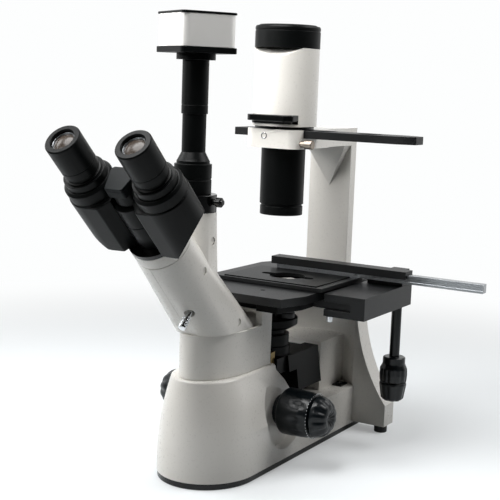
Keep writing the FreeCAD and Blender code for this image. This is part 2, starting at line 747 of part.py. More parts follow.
def phase_slider():
    z0, z1 = slider_levels()
    half = SLIDER_W / 2
    points = [(SLIDER_LEFT, -half), (SLIDER_RIGHT - 18, -half), (SLIDER_RIGHT, -half + 7), (SLIDER_RIGHT, half - 7),
              (SLIDER_RIGHT - 18, half), (SLIDER_LEFT, half)]
    bar = prism_z(points, z0, z1)
    for i in range(3):
        x = i * SLIDER_PITCH
        bar = bar.cut(rod(12.5, x, 0, z0 + 2, z1 + PAST)).cut(bore(10.5, x, 0, z0, z1))
    return Part.makeCompound([bar] + phase_annuli())


def phase_annuli():
    z0 = slider_levels()[0] + 2
    return [tube(12.4, 5.0 + i, i * SLIDER_PITCH, 0, z0, z0 + 1.5) for i in range(3)]


# Stage

def stage_outline(inset, z0, z1):
    h = STAGE_HALF - inset
    f = STAGE_FRONT + inset
    r = STAGE_REAR - inset
    points = [(h - 10, f), (h, f + 32), (h, r - 24), (h - 10, r), (-h + 10, r), (-h, r - 24), (-h, f + 32),
              (-h + 10, f)]
    return prism_z(points, z0, z1)


def stage_plate():
    plate = stage_outline(0, STAGE_Z0, STAGE_TOP)
    screw_hole = rod(2.6, 21.7, -69.7, STAGE_TOP - 6, STAGE_TOP + PAST)
    return plate.cut(bore(STAGE_HOLE_R, 0, 0, STAGE_Z0, STAGE_TOP)).cut(screw_hole)


def stage_frame():
    frame = stage_outline(FRAME_INSET, FRAME_Z0, STAGE_Z0)
    half = NECK_HALF - 3
    front = STAGE_FRONT + FRAME_INSET - PAST
    notch = box(-half, half, front, NECK_REAR - POST_DEPTH + 1, FRAME_Z0 - PAST, STAGE_Z0 + PAST)
    return frame.cut(notch).cut(bore(TURRET_R + 6, 0, TURRET_Y, FRAME_Z0, STAGE_Z0))


def y_guide():
    guide = box(GUIDE_X0, GUIDE_X1, -38, 98, GUIDE_Z0, STAGE_Z0)
    teeth = []
    for i in range(37):
        y = -26 + i * TOOTH_PITCH
        teeth.append(box(GUIDE_X1 - 1.4, GUIDE_X1 + PAST, y, y + TOOTH_PITCH / 2, GUIDE_Z0 - PAST, STAGE_Z0 + PAST))
    return guide.cut(Part.makeCompound(teeth))


def y_carriage():
    block = box(BLOCK_X0, BLOCK_X1, BLOCK_Y0, BLOCK_Y1, BLOCK_Z0, BLOCK_Z1)
    z1 = STAGE_Z0
    groove = box(BLOCK_X0 - PAST, GUIDE_X1 + PLAY, BLOCK_Y0 - PAST, BLOCK_Y1 + PAST, GUIDE_Z0 - RUN, z1 + RUN)
    room = rod(PINION_R + 0.5, DRIVE_X, DRIVE_Y, GUIDE_Z0 - RUN, z1 + RUN)
    lower = rod(DRIVE_TUBE_R + RUN, DRIVE_X, DRIVE_Y, BLOCK_Z0 - PAST, GUIDE_Z0)
    upper = rod(PIN_SHAFT_R + RUN, DRIVE_X, DRIVE_Y, z1 - PAST, BLOCK_Z1 + PAST)
    return block.cut(groove).cut(room).cut(lower).cut(upper)


def x_guide_bar():
    bar = box(BAR_X0, BAR_X1, BAR_Y0, BAR_Y1, BAR_Z0, BAR_Z1)
    channel = box(BAR_X0 - 1, BAR_X1 + 1, RAIL_Y0 - RUN, RAIL_Y1 + RUN, BAR_Z0 - 1, RAIL_Z1 + RUN)
    x0 = DRIVE_X - PINION_R - 2.5
    x1 = BLOCK_X1 - 0.5
    gearbox = box(x0, x1, BAR_Y1, DRIVE_Y + PINION_R + 2.5, BLOCK_Z1, BAR_Z1 - 1)
    foot = box(BLOCK_X0 + 4, x1, RAIL_Y1 + 1, BAR_Y1, BLOCK_Z1, BAR_Z0)
    room = rod(PINION_R + 0.6, DRIVE_X, DRIVE_Y, GEAR_Z0 - 0.5, GEAR_Z0 + GEAR_H + 0.5)
    lower = rod(PIN_SHAFT_R + RUN, DRIVE_X, DRIVE_Y, BLOCK_Z1 - PAST, GEAR_Z0)
    return bar.fuse(gearbox).fuse(foot).cut(channel).cut(room).cut(lower)


def y_knob():
    z = KNOB_SPLIT + 0.5
    r = DRIVE_TUBE_R
    points = [(PIN_SHAFT_R + RUN, z), (14.6, z), (15.0, z + 8), (14.4, z + 16), (12.0, z + 19), (12.0, z + 27),
              (11.0, z + 27.6), (r, z + 27.6), (r, GUIDE_Z0 + 0.3), (PIN_SHAFT_R + RUN, GUIDE_Z0 + 0.3)]
    knob = turned(points, DRIVE_X, DRIVE_Y)
    z0 = GUIDE_Z0 + 0.3
    z1 = z0 + 7
    pinion = gear(PINION_R, TOOTH_DEPTH, TEETH, DRIVE_X, DRIVE_Y, z0, z1)
    return knob.fuse(pinion.cut(bore(PIN_SHAFT_R + RUN, DRIVE_X, DRIVE_Y, z0, z1)))


def x_knob():
    z = KNOB_SPLIT - 0.5
    r = PIN_SHAFT_R
    top = GEAR_Z0 + GEAR_H
    points = [(0, z - 20), (10.0, z - 20), (12.4, z - 17.5), (14.8, z - 2), (14.4, z), (r, z), (r, top), (0, top)]
    return turned(points, DRIVE_X, DRIVE_Y).fuse(gear(PINION_R, TOOTH_DEPTH, TEETH, DRIVE_X, DRIVE_Y, GEAR_Z0, top))


def x_rail():
    rail = box(RAIL_X0, RAIL_X1, RAIL_Y0, RAIL_Y1, HOLDER_Z1, RAIL_Z1)
    groove = box(BAR_X1 - 60, RAIL_X1 + 1, RAIL_Y0 - 1, RAIL_Y0 + 1.2, HOLDER_Z1 + 2.4, RAIL_Z1 - 2.4)
    teeth = []
    for i in range(int((RAIL_X1 - RAIL_X0 - 20) / TOOTH_PITCH)):
        x = RAIL_X0 + 10 + i * TOOTH_PITCH
        teeth.append(box(x, x + TOOTH_PITCH / 2, RAIL_Y1 - 1.2, RAIL_Y1 + PAST, GEAR_Z0 - PAST, RAIL_Z1 + PAST))
    return rail.cut(groove).cut(Part.makeCompound(teeth))


def holder_frame():
    outer = box(PLATE_X0 - 6, PLATE_X1 + 8, PLATE_Y0 - 4, RAIL_Y1, HOLDER_Z0, HOLDER_Z1)
    opening = box(PLATE_X0 + 3, PLATE_X1 - 3, PLATE_Y0 + 3, PLATE_Y1 - 3, HOLDER_Z0 - 1, HOLDER_Z1 + 1)
    seat = box(PLATE_X0 - 0.2, PLATE_X1 + 0.2, PLATE_Y0 - 0.2, PLATE_Y1 + 0.2, HOLDER_Z0 + 1.5, HOLDER_Z1 + 1)
    return outer.cut(opening).cut(seat)


def specimen_plate():
    plate = box(PLATE_X0, PLATE_X1, PLATE_Y0, PLATE_Y1, HOLDER_Z0 + 1.5, PLATE_TOP)
    plate = plate.cut(bore(DISH_HOLE_R, HOLE_X, HOLE_Y, HOLDER_Z0, PLATE_TOP))
    for side in (-1, 1):
        end = -DISH_HOLE_R - 7
        lobe = box(-5, 5, end, 0, HOLDER_Z0, PLATE_TOP + PAST).fuse(rod(5, 0, end, HOLDER_Z0, PLATE_TOP + PAST))
        lobe.rotate(V(0, 0, 0), V(0, 0, 1), 90 * side)
        lobe.translate(V(HOLE_X, HOLE_Y, 0))
        plate = plate.cut(lobe)
    return plate


def carriage_screws():
    places = [BLOCK_Y0 + 4, BLOCK_Y1 - 6]
    return Part.makeCompound([rod(3.2, BLOCK_X0 + 5, y, BLOCK_Z0 - 6, BLOCK_Z0) for y in places])


# Nosepiece and focus

def nosepiece_carrier():
    half = CARRIER_HALF
    head = box(-half, half, TURRET_Y - 22, TURRET_Y + 16, CARRIER_Z0, RIM_Z)
    head = head.fuse(rod(half - 1, 0, TURRET_Y, RIM_Z, CARRIER_TOP))
    collar = rod(COLLAR_R, 0, TURRET_Y, CARRIER_TOP, COLLAR_TOP)
    collar = collar.fuse(rod(COLLAR_NECK_R, 0, TURRET_Y, COLLAR_TOP, TURRET_Z0))
    rings = []
    for z, wide in ((RIM_Z, half + 2), (CARRIER_LOW, half + 8)):
        corners = [V(-wide, -24, z), V(wide, -24, z), V(wide, 44, z), V(-wide, 44, z)]
        rings.append(Part.makePolygon(corners + corners[:1]))
    block = Part.makeLoft(rings, True, True).cut(box(-RIM_Z, RIM_Z, -30, -8, CARRIER_LOW - PAST, CARRIER_Z0))
    body = head.fuse(collar).fuse(block)
    body = body.cut(bore(12, 0, 0, CARRIER_LOW, TURRET_Z0))
    half = GUIDE_HALF + RUN
    body = body.cut(box(-half, half, GUIDE_Y - RUN, GUIDE_Y + 16, CARRIER_LOW - PAST, RIM_Z + PAST))
    return body.cut(bore(PIVOT_R + RUN, 0, TURRET_Y, CARRIER_Z0 + 9, TURRET_Z0))


def focus_guide():
    return box(-GUIDE_HALF, GUIDE_HALF, GUIDE_Y, HUMP_FRONT, LEDGE_Z, LEDGE_Z + 50)


def focus_rack():
    x0 = RACK_X - RACK_W / 2
    x1 = RACK_X + RACK_W / 2
    back = RACK_Y + 6
    top = CARRIER_Z0 + 25
    bar = box(x0, x1, RACK_Y, back, LEDGE_Z - 10, top)
    arm = box(x0, x1, back, TURRET_Y - 22, CARRIER_Z0 + 5, top)
    teeth = []
    for i in range(14):
        z = LEDGE_Z - 8 + i * TOOTH_PITCH
        teeth.append(box(x0 - PAST, x1 + PAST, RACK_Y - PAST, RACK_Y + TOOTH_DEPTH, z, z + TOOTH_PITCH / 2))
    return bar.fuse(arm).cut(Part.makeCompound(teeth))


def nosepiece_turret():
    z0 = TURRET_Z0 + 0.3
    z1 = TURRET_Z1
    r = TURRET_R
    points = [(0, z0), (r - 7, z0), (r, z0 + 4.5), (r, z1 - 1.5), (r - 1.5, z1), (0, z1)]
    disc = turned(points, 0, TURRET_Y).fuse(rod(PIVOT_R, 0, TURRET_Y, CARRIER_Z0 + 9, z0))
    for x, y in objective_places():
        disc = disc.cut(bore(8.5, x, y, z0, z1))
    return disc


def objective_places():
    c = OBJECTIVE_CIRCLE
    return [(0, TURRET_Y + c), (c, TURRET_Y), (0, TURRET_Y - c), (-c, TURRET_Y)]


def objectives():
    solids = []
    z = TURRET_Z1
    for (x, y), height in zip(objective_places(), OBJECTIVE_HEIGHTS):
        top = z + height
        points = [(5, z - 5), (8.4, z - 5), (8.4, z), (10.4, z), (10.4, z + 5), (9.8, z + 6), (9.8, top - 5),
                  (7, top - 2), (7, top), (5, top)]
        solids.append(turned(points, x, y))
        solids.append(rod(5, x, y, top - 2.5, top - 0.5))
    return Part.makeCompound(solids)


def coarse_knobs():
    x0 = COARSE_IN
    x1 = COARSE_OUT
    r = COARSE_R
    hub = x0 + COARSE_HUB
    points = [(TUBE_SHAFT_R, x0), (r - 8, x0), (r - 8, hub), (r - 2, hub), (r, hub + 3), (r, x1 - 8), (r - 2, x1),
              (TUBE_SHAFT_R, x1)]
    knob = lay_along_x(turned(points, 0, 0), FOCUS_Y, FOCUS_Z)
    return Part.makeCompound([knob, mirror_x(knob)])


def coarse_shaft():
    shaft = tube(TUBE_SHAFT_R, PIN_SHAFT_R + RUN, 0, 0, -COARSE_OUT, COARSE_OUT)
    x0 = RACK_X - RACK_W / 2
    x1 = RACK_X + RACK_W / 2
    pinion = gear(PINION_R, TOOTH_DEPTH, TEETH, 0, 0, x0, x1).cut(bore(TUBE_SHAFT_R - 1, 0, 0, x0, x1))
    return lay_along_x(shaft.fuse(pinion), FOCUS_Y, FOCUS_Z)


def fine_knobs():
    x0 = COARSE_OUT + 0.5
    x1 = FINE_OUT
    end = x1 - 4
    r = FINE_R
    points = [(PIN_SHAFT_R, x0), (r - 1, x0), (r, x0 + 2), (r - 1.5, x1 - 7), (r - 6, x1 - 1.5), (r - 10, x1),
              (0, x1), (0, end), (PIN_SHAFT_R, end)]
    knob = lay_along_x(turned(points, 0, 0), FOCUS_Y, FOCUS_Z)
    shaft = rod_x(PIN_SHAFT_R, FOCUS_Y, FOCUS_Z, -end, end)
    return Part.makeCompound([knob, mirror_x(knob), shaft])


# Light tube and lens between the mirror and the head

def light_tube():
    low = axis_s(RIM_Z)
    pipe = incline(tube(LIGHT_R + 2, LIGHT_R, 0, 0, low + 5, RELAY_S + 30))
    flange = box(-20, 20, -RIM_Z - 6, NECK_REAR - NECK_WALL - PLAY, RIM_Z, RIM_Z + 3)
    lip = flange.cut(incline(rod(LIGHT_R, 0, 0, low - 26, RELAY_S)))
    return pipe.fuse(lip)


# Head

def head_form(inset):
    low = round_wire(HEAD_LOW_HALF - inset, HEAD_LOW_Q - inset, 19 - inset / 2, 0, 0, 140)
    r = HEAD_R - inset
    high = round_wire(r, r, r - 0.3, 0, 0, HEAD_TOP_S)
    inclined = incline(Part.makeLoft([low, high], True, True))
    tower = cone(PORT_LOW_R - inset, PORT_R - inset, 0, PORT_Y, PORT_LOW_Z + inset * 0.5, PORT_TOP)
    return inclined, tower


def head_shells():
    outer_tube, outer_tower = head_form(0)
    inner_tube, inner_tower = head_form(HEAD_WALL)
    floor = box(-60, 60, -260, 0, 0, NECK_TOP)
    outer = outer_tube.fuse(outer_tower)
    inner = inner_tube.fuse(inner_tower.cut(box(-60, 60, -260, 0, PORT_TOP - 3, 400)))
    inner = inner.fuse(rod(16, 0, PORT_Y, PORT_TOP - 5, PORT_TOP + 1))
    shell = outer.cut(inner).cut(floor)
    shell = shell.cut(incline(rod(HEAD_R - 7, 0, 0, HEAD_TOP_S - 8, HEAD_TOP_S + 2)))
    shell = shell.fuse(along_q(GRIP_R + 3, -24, ROD_BUSH_Q + 6).common(outer))
    shell = shell.cut(along_q(GRIP_R + 0.6, -50, ROD_BUSH_Q)).cut(along_q(ROD_R + RUN, -50, 0))
    for plug in plug_places():
        shell = shell.cut(plug_hole(plug, 3.6, 1.5))
    right = shell.common(box(0, 80, -300, 50, 0, 400))
    left = shell.common(box(-80, 0, -300, 50, 0, 400))
    return left, right


# Places of the screw plugs: side, then across and along the inclined axis, and the surface's half width there
def plug_places():
    places = []
    for side in (-1, 1):
        places += [(side, 4.0, 270.0, 26.7), (side, 6.0, 186.0, 29.0), (side, 34.5, 276.0, 24.0)]
    return places


def plug_hole(place, r, depth):
    side, q, s, surface = place
    x0 = side * (surface - depth)
    x1 = side * (surface + 12)
    lo, hi = sorted((x0, x1))
    return incline(Part.makeCylinder(r, hi - lo, V(lo, q, s), V(1, 0, 0)))


def head_plugs():
    plugs = []
    for side, q, s, surface in plug_places():
        x0 = surface - 1.5
        lo, hi = sorted((side * x0, side * (x0 + 1.0)))
        plugs.append(incline(Part.makeCylinder(3.3, hi - lo, V(lo, q, s), V(1, 0, 0))))
    return Part.makeCompound(plugs)


def head_collar():
    return incline(tube(HEAD_R, 20, 0, 0, HEAD_TOP_S, COLLAR_TOP_S))


# A cylinder on the pull rod's line
def along_q(r, q0, q1):
    return incline(Part.makeCylinder(r, q1 - q0, V(ROD_X, q0, ROD_S), V(0, 1, 0)))


def path_rod():
    stem = along_q(ROD_R, GRIP_Q + 1, -3)
    grip = along_q(GRIP_R, GRIP_Q, GRIP_Q + 12)
    prism = incline(box(-6, ROD_X + ROD_R, -6, 6, ROD_S - 7, ROD_S + 7))
    return stem.fuse(grip).fuse(prism)


# Plan of the cover over the hinge, inside a circle that the swinging arms leave free
def face_plan(r, s0, s1):
    points = [(-13, 12), (13, 12), (14, 6), (9, -14), (-9, -14), (-14, 6)]
    plate = prism_z(points, s0, s1)
    plate = plate.makeFillet(2.5, vertical_edges(plate))
    lower = box(-PRISM_R, PRISM_R, -PRISM_R, -3, s0 - PAST, s1 + PAST)
    return plate.common(bore(r, 0, 0, s0, s1).fuse(lower))


def binocular_barrel():
    base = tube(BINO_R, 9, 0, 0, COLLAR_TOP_S, ARM_S0 - 0.5)
    barrel = tube(BARREL_R, 9, 0, 0, ARM_S0 - 1, HUB_TOP + 3)
    neck = rod(FACE_NECK_R, 0, 0, HUB_TOP + 3, FACE_S)
    lower = face_plan(FACE_NECK_R, FACE_S, SEAT_S)
    upper = face_plan(EYE_HALF - SEAT_R - PLAY, SEAT_S, FACE_TOP)
    return Part.makeCompound([incline(base.fuse(barrel).fuse(neck).fuse(lower)), incline(upper)])


def vertical_edges(shape):
    return [e for e in shape.Edges if abs(e.tangentAt(e.FirstParameter).z) > 0.99]


# One arm, made for the right side: a round housing on the eyepiece axis, cut away below on the outside,
# with a cheek to its hub on the hinge. The other arm's hub turns in the room that is left beside it.
def arm_form(hub_low, hub_high, other_low, other_high):
    r = PRISM_R
    arm = rod(r, EYE_HALF, 0, ARM_S0, ARM_S1)
    cheek = [(12, -12.7), (CHEEK_X, -CHEEK_Q), (EYE_HALF, -r), (EYE_HALF, r - PLAY), (25, 20.8), (12, 12.7)]
    arm = arm.fuse(prism_z(cheek, ARM_S0, HUB_TOP))
    reach = r + 2
    drop = UNDERCUT_SLOPE * reach
    corner = [V(UNDERCUT_X, -reach, ARM_S0), V(UNDERCUT_X + reach, -reach, ARM_S0 + drop),
              V(UNDERCUT_X + reach, -reach, ARM_S0 - PAST), V(UNDERCUT_X, -reach, ARM_S0 - PAST)]
    undercut = Part.Face(Part.makePolygon(corner + [corner[0]])).extrude(V(0, 2 * reach, 0))
    arm = arm.cut(undercut)
    arm = arm.cut(rod(HUB_R + PLAY, 0, 0, other_low - PLAY, other_high + PLAY))
    arm = arm.cut(rod(BARREL_R + PLAY, 0, 0, ARM_S0 - PAST, ARM_S1 + PAST))
    arm = arm.cut(rod(FACE_NECK_R + PLAY, 0, 0, HUB_TOP, ARM_S1 + PAST))
    arm = arm.fuse(tube(HUB_R, BARREL_R + RUN, 0, 0, hub_low, hub_high))
    arm = arm.fuse(rod(SLEEVE_R, EYE_HALF, 0, ARM_S1, SEAT_S)).fuse(rod(SEAT_R, EYE_HALF, 0, SEAT_S, SLEEVE_TOP))
    barrel_bore = rod(SLEEVE_BORE + RUN, EYE_HALF, 0, BORE_S, SLEEVE_TOP + PAST)
    mid = (hub_low + hub_high) / 2
    beam = rod(9, EYE_HALF, 0, mid - 7, BORE_S + PAST).fuse(box(BARREL_R - 4, EYE_HALF, -7, 7, mid - 7, mid + 7))
    return arm.cut(barrel_bore).cut(beam)


def ocular_arms():
    low = (ARM_S0, HUB_SPLIT - PLAY / 2)
    high = (HUB_SPLIT + PLAY / 2, HUB_TOP)
    right = arm_form(*low, *high)
    left = mirror_x(arm_form(*high, *low))
    collar = tube(DIOPTER_R, SLEEVE_R + RUN, -EYE_HALF, 0, ARM_S1, SEAT_S)
    return Part.makeCompound([incline(left), incline(collar)]), incline(right)


def diopter_ring():
    s0 = ARM_S1 + PLAY
    s1 = SEAT_S - PLAY
    r = DIOPTER_R
    ring = tube(r, SLEEVE_R + RUN, EYE_HALF, 0, s0, s1)
    notches = []
    for i in range(DIOPTER_NOTCHES):
        a = 2 * math.pi * i / DIOPTER_NOTCHES
        notches.append(rod(0.7, EYE_HALF + (r + 0.3) * math.cos(a), (r + 0.3) * math.sin(a), s0 + 5, s1 - 1.5))
    return incline(ring.cut(Part.makeCompound(notches)))


def eyepiece(side):
    x = side * EYE_HALF
    z0 = SLEEVE_TOP
    z1 = z0 + EYE_NECK
    top = EYE_TOP
    r = EYE_R
    wall = SLEEVE_BORE - 3
    points = [(wall, BORE_S + 2), (SLEEVE_BORE, BORE_S + 2), (SLEEVE_BORE, z0), (SLEEVE_R, z0), (SLEEVE_R, z0 + 1),
              (r - 1.2, z0 + 1.6), (r - 1.2, z1 - 0.6), (r, z1), (r, top - 1), (r - 1, top), (GLASS_R + 0.5, top),
              (GLASS_R, top - 2), (GLASS_R, top - 12), (wall, top - 14)]
    shell = turned(points, x, 0)
    glass = rod(GLASS_R, x, 0, top - 8, top - 5)
    return incline(Part.makeCompound([shell, glass]))


# Camera port

def port_clamp_ring():
    ring = tube(PORT_R, CLAMP_BORE_R, 0, PORT_Y, PORT_TOP, CLAMP_TOP)
    return ring.cut(rod_x(SCREW_PIN_R + RUN, PORT_Y, CLAMP_TOP - SCREW_DROP, 10, 40))


def port_thumbscrew():
    z = CLAMP_TOP - SCREW_DROP
    r = PORT_R
    pin = rod_x(SCREW_PIN_R, PORT_Y, z, CLAMP_BORE_R + 0.3, r + 4)
    collar = rod_x(3.0, PORT_Y, z, r + 0.6, r + 4)
    head = rod_x(4.6, PORT_Y, z, r + 4, r + 9)
    tip = rod_x(2.6, PORT_Y, z, r + 9, r + 11)
    return pin.fuse(collar).fuse(head).fuse(tip)


# Outer profile of the tube from the clamp to the camera: a stepped block, a cone and two slim lengths
def photo_tube():
    z = CLAMP_TOP
    low = PORT_TOP + 0.5
    inner = PHOTO_BORE_R
    seat = CAMERA_Z - 6
    points = [(inner, low), (16.4, low), (16.4, z + 0.2), (17.7, z + 0.2), (17.7, z + 13), (17.3, z + 13.4),
              (17.3, z + 15), (17.7, z + 15.4), (17.7, z + 28), (15.4, z + 28), (15.4, z + 31), (14.6, z + 32),
              (11.2, z + 39), (11.2, z + 74), (12.4, z + 74.6), (12.4, seat), (18.2, seat), (18.2, CAMERA_Z),
              (inner, CAMERA_Z)]
    return turned(points, 0, PORT_Y)


def camera_form(inset, corner, z0, z1):
    half = CAMERA_SIDE / 2 - inset
    form = round_prism(half, half, corner, 0, 0, z0, z1)
    form.rotate(V(0, 0, 0), V(0, 0, 1), CAMERA_TURN)
    form.translate(V(0, PORT_Y, 0))
    return form


def camera_ends():
    bottom = camera_form(0, 4.5, CAMERA_Z, CAMERA_Z + CAMERA_BASE_T)
    bottom = bottom.cut(bore(PHOTO_BORE_R, 0, PORT_Y, CAMERA_Z, CAMERA_Z + CAMERA_BASE_T))
    top = camera_form(0, 4.5, CAMERA_TOP_Z - CAMERA_LID_T, CAMERA_TOP_Z)
    return Part.makeCompound([bottom, top])


def camera_body():
    z0 = CAMERA_Z + CAMERA_BASE_T
    z1 = CAMERA_TOP_Z - CAMERA_LID_T
    return camera_form(0.6, 7.5, z0, z1).cut(camera_form(3.1, 5, z0 - PAST, z1 + PAST))


def camera_board():
    z0 = CAMERA_Z + CAMERA_BASE_T
    board = camera_form(6, 3, z0 + 4, z0 + 5.6)
    sensor = camera_form(20, 1, z0 + 2.5, z0 + 4)
    frame = Part.makeCompound([rod(2, x, y, z0, z0 + 4) for x in (-19, 19) for y in (-19, 19)])
    frame.rotate(V(0, 0, 0), V(0, 0, 1), CAMERA_TURN)
    frame.translate(V(0, PORT_Y, 0))
    return board.fuse(sensor).fuse(frame.Solids)


def build():
    keep("base_plate", base_plate())
    keep("base_body", base_body())
    keep("mirror_mount", mirror_mount())
    keep("switch_bezel", switch_bezel())
    keep("switch_rocker", switch_rocker())
    keep("brightness_dial", brightness_dial())
    keep("neck_shell", neck_shell())
    keep("rear_tower", rear_tower())
    keep("rear_feet", rear_feet())
    keep("mains_inlet", mains_inlet())
    keep("power_board", power_board())
    keep("pillar", pillar())
    keep("illumination_arm", illumination_arm())
    keep("arm_knob", arm_knob())
    keep("lamp_flange", lamp_flange())
    keep("lamp_housing", lamp_housing())
    keep("filter_tray", filter_tray())
    keep("lamp_cap", lamp_cap())
    keep("lamp_holder", lamp_holder())
    keep("lamp_bulb", lamp_bulb())
    keep("fixed_lenses", light_lenses())
    keep("condenser_tube", condenser_tube())
    keep("phase_slider", phase_slider())
    keep("stage_plate", stage_plate())
    keep("stage_frame", stage_frame())
    keep("y_guide", y_guide())
    keep("y_carriage", y_carriage())
    keep("x_guide_bar", x_guide_bar())
    keep("y_knob", y_knob())
    keep("x_knob", x_knob())
    keep("x_rail", x_rail())
    keep("holder_frame", holder_frame())
    keep("specimen_plate", specimen_plate())
    keep("carriage_screws", carriage_screws())
    keep("nosepiece_carrier", nosepiece_carrier())
    keep("focus_guide", focus_guide())
    keep("focus_rack", focus_rack())
    keep("nosepiece_turret", nosepiece_turret())
    keep("objectives", objectives())
    keep("coarse_knobs", coarse_knobs())
    keep("coarse_shaft", coarse_shaft())
    keep("fine_knobs", fine_knobs())
    keep("light_tube", light_tube())
    left, right = head_shells()
    keep("head_shell_left", left)
    keep("head_shell_right", right)
    keep("head_plugs", head_plugs())
    keep("head_collar", head_collar())
    keep("path_rod", path_rod())
    keep("binocular_barrel", binocular_barrel())
    left, right = ocular_arms()
    keep("ocular_arm_left", left)
    keep("ocular_arm_right", right)
    keep("diopter_ring_right", diopter_ring())
    keep("eyepiece_left", eyepiece(-1))
    keep("eyepiece_right", eyepiece(1))
    keep("port_clamp_ring", port_clamp_ring())
    keep("port_thumbscrew", port_thumbscrew())
    keep("photo_tube", photo_tube())
    keep("camera_ends", camera_ends())
    keep("camera_body", camera_body())
    keep("camera_board", camera_board())


build()
os.makedirs("parts", exist_ok=True)
for name, shape in PARTS.items():
    shape.exportStep("parts/" + name + ".step")
    print(name, len(shape.Solids), round(shape.Volume, 1), shape.isValid())
print(len(PARTS), "nodes")
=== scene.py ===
import math

import bmesh
import bpy
import numpy as np
from mathutils import Matrix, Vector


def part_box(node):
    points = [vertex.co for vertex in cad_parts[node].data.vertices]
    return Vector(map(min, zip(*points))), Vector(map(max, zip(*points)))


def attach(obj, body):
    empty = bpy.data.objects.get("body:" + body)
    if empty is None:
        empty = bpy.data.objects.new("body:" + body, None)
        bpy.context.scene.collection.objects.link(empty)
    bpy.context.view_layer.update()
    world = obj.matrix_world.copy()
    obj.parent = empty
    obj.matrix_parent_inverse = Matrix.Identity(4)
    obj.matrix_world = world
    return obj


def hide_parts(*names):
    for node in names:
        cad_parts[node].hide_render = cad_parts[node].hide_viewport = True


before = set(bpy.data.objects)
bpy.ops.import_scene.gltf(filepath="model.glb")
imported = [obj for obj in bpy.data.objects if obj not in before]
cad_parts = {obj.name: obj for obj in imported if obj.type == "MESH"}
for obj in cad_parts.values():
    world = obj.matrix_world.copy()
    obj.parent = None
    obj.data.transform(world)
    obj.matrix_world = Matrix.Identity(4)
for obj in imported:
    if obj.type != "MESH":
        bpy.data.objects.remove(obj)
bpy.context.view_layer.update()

mm = 0.001
rootHalf = math.sqrt(0.5)
print("frame loaded:", len(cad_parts), "nodes")


# Lowest and highest corner of a node in millimetres
def span(node):
    low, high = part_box(node)
    return np.array(low) / mm, np.array(high) / mm


# Places on the stand that the pieces share, in millimetres
mirrorZ = 21.8          # where the inclined axis of the head starts on the optical axis
fullTurn = 2 * math.pi


# Colour and materials

# A written sRGB colour such as #d9d6cf as the linear one that a shader takes
def hexColour(code):
    written = [int(code[i:i + 2], 16) / 255 for i in (1, 3, 5)]
    linear = [c / 12.92 if c <= 0.04045 else ((c + 0.055) / 1.055) ** 2.4 for c in written]
    return (*linear, 1.0)


# Adds one node: settings by name, inputs by name or number, each a value or another node's output
def addNode(tree, kind, inputs=None, **settings):
    node = tree.nodes.new("ShaderNode" + kind)
    for key, value in settings.items():
        setattr(node, key, value)
    for key, value in (inputs or {}).items():
        if isinstance(value, bpy.types.NodeSocket):
            tree.links.new(value, node.inputs[key])
        else:
            node.inputs[key].default_value = value
    return node


# A surface finish: two close colours in soft clouds, and a grain that moves roughness and relief. Clouds,
# grain and the depth of the relief are in millimetres
def makeMaterial(name, look):
    material = bpy.data.materials.new(name)
    material.use_nodes = True
    tree = material.node_tree
    shader = tree.nodes["Principled BSDF"]
    for socket, value in look.get("shader", {}).items():
        shader.inputs[socket].default_value = value
    place = addNode(tree, "TexCoord").outputs["Object"]
    first, second = (hexColour(code) for code in look["colours"])
    cloud = addNode(tree, "TexNoise", {"Vector": place, "Scale": 1 / (look["cloud"] * mm), "Detail": 2.0})
    colour = addNode(tree, "Mix", {0: cloud.outputs["Fac"], 6: first, 7: second}, data_type="RGBA")
    grain = addNode(tree, "TexNoise", {"Vector": place, "Scale": 1 / (look["grain"] * mm), "Detail": 3.0})
    rough = addNode(tree, "MapRange", {"Value": grain.outputs["Fac"], "From Min": 0.3, "From Max": 0.7,
                                       "To Min": look["rough"][0], "To Max": look["rough"][1]})
    relief = addNode(tree, "Bump", {"Height": grain.outputs["Fac"], "Distance": look["depth"] * mm,
                                    "Strength": 1.0})
    tree.links.new(colour.outputs[2], shader.inputs["Base Color"])
    tree.links.new(rough.outputs["Result"], shader.inputs["Roughness"])
    tree.links.new(relief.outputs["Normal"], shader.inputs["Normal"])
    return material


# Powder-coated steel and castings: warm off-white, with a faint orange peel under a soft gloss
enamel = makeMaterial("warm white powder coat", {
    "colours": ("#dedbd4", "#e3e0da"), "cloud": 60, "grain": 2.2, "depth": 0.012,
    "rough": (0.26, 0.34), "shader": {"IOR": 1.5, "Coat Weight": 0.25, "Coat Roughness": 0.12}})

# Anodised aluminium plates: near black with a cool cast and a sheen that turns bright at a flat angle
anodised = makeMaterial("black anodised aluminium", {
    "colours": ("#070809", "#0a0c0d"), "cloud": 40, "grain": 0.9, "depth": 0.006,
    "rough": (0.4, 0.48), "shader": {"IOR": 1.48, "Specular IOR Level": 0.35}})

# Painted die castings of the head: satin black with a slate cast and a broad soft highlight
satinBlack = makeMaterial("satin black lacquer", {
    "colours": ("#040505", "#070909"), "cloud": 35, "grain": 0.8, "depth": 0.008,
    "rough": (0.34, 0.44), "shader": {"IOR": 1.48, "Specular IOR Level": 0.1}})

# The same lacquer on the face plate with painted light: its colour is made lighter, a blue-green grey, as if
# it faced the light
litSatinBlack = makeMaterial("satin black lacquer painted lighter as if lit", {
    "colours": ("#0b0e0f", "#0f1314"), "cloud": 30, "grain": 0.7, "depth": 0.006,
    "rough": (0.56, 0.64), "shader": {"IOR": 1.4, "Specular IOR Level": 0.2}})

# Deep glossy black of the port ring, the hinge disc and the trays
glossBlack = makeMaterial("gloss black lacquer", {
    "colours": ("#020303", "#040505"), "cloud": 30, "grain": 1.4, "depth": 0.004,
    "rough": (0.16, 0.24), "shader": {"IOR": 1.5, "Specular IOR Level": 0.35}})

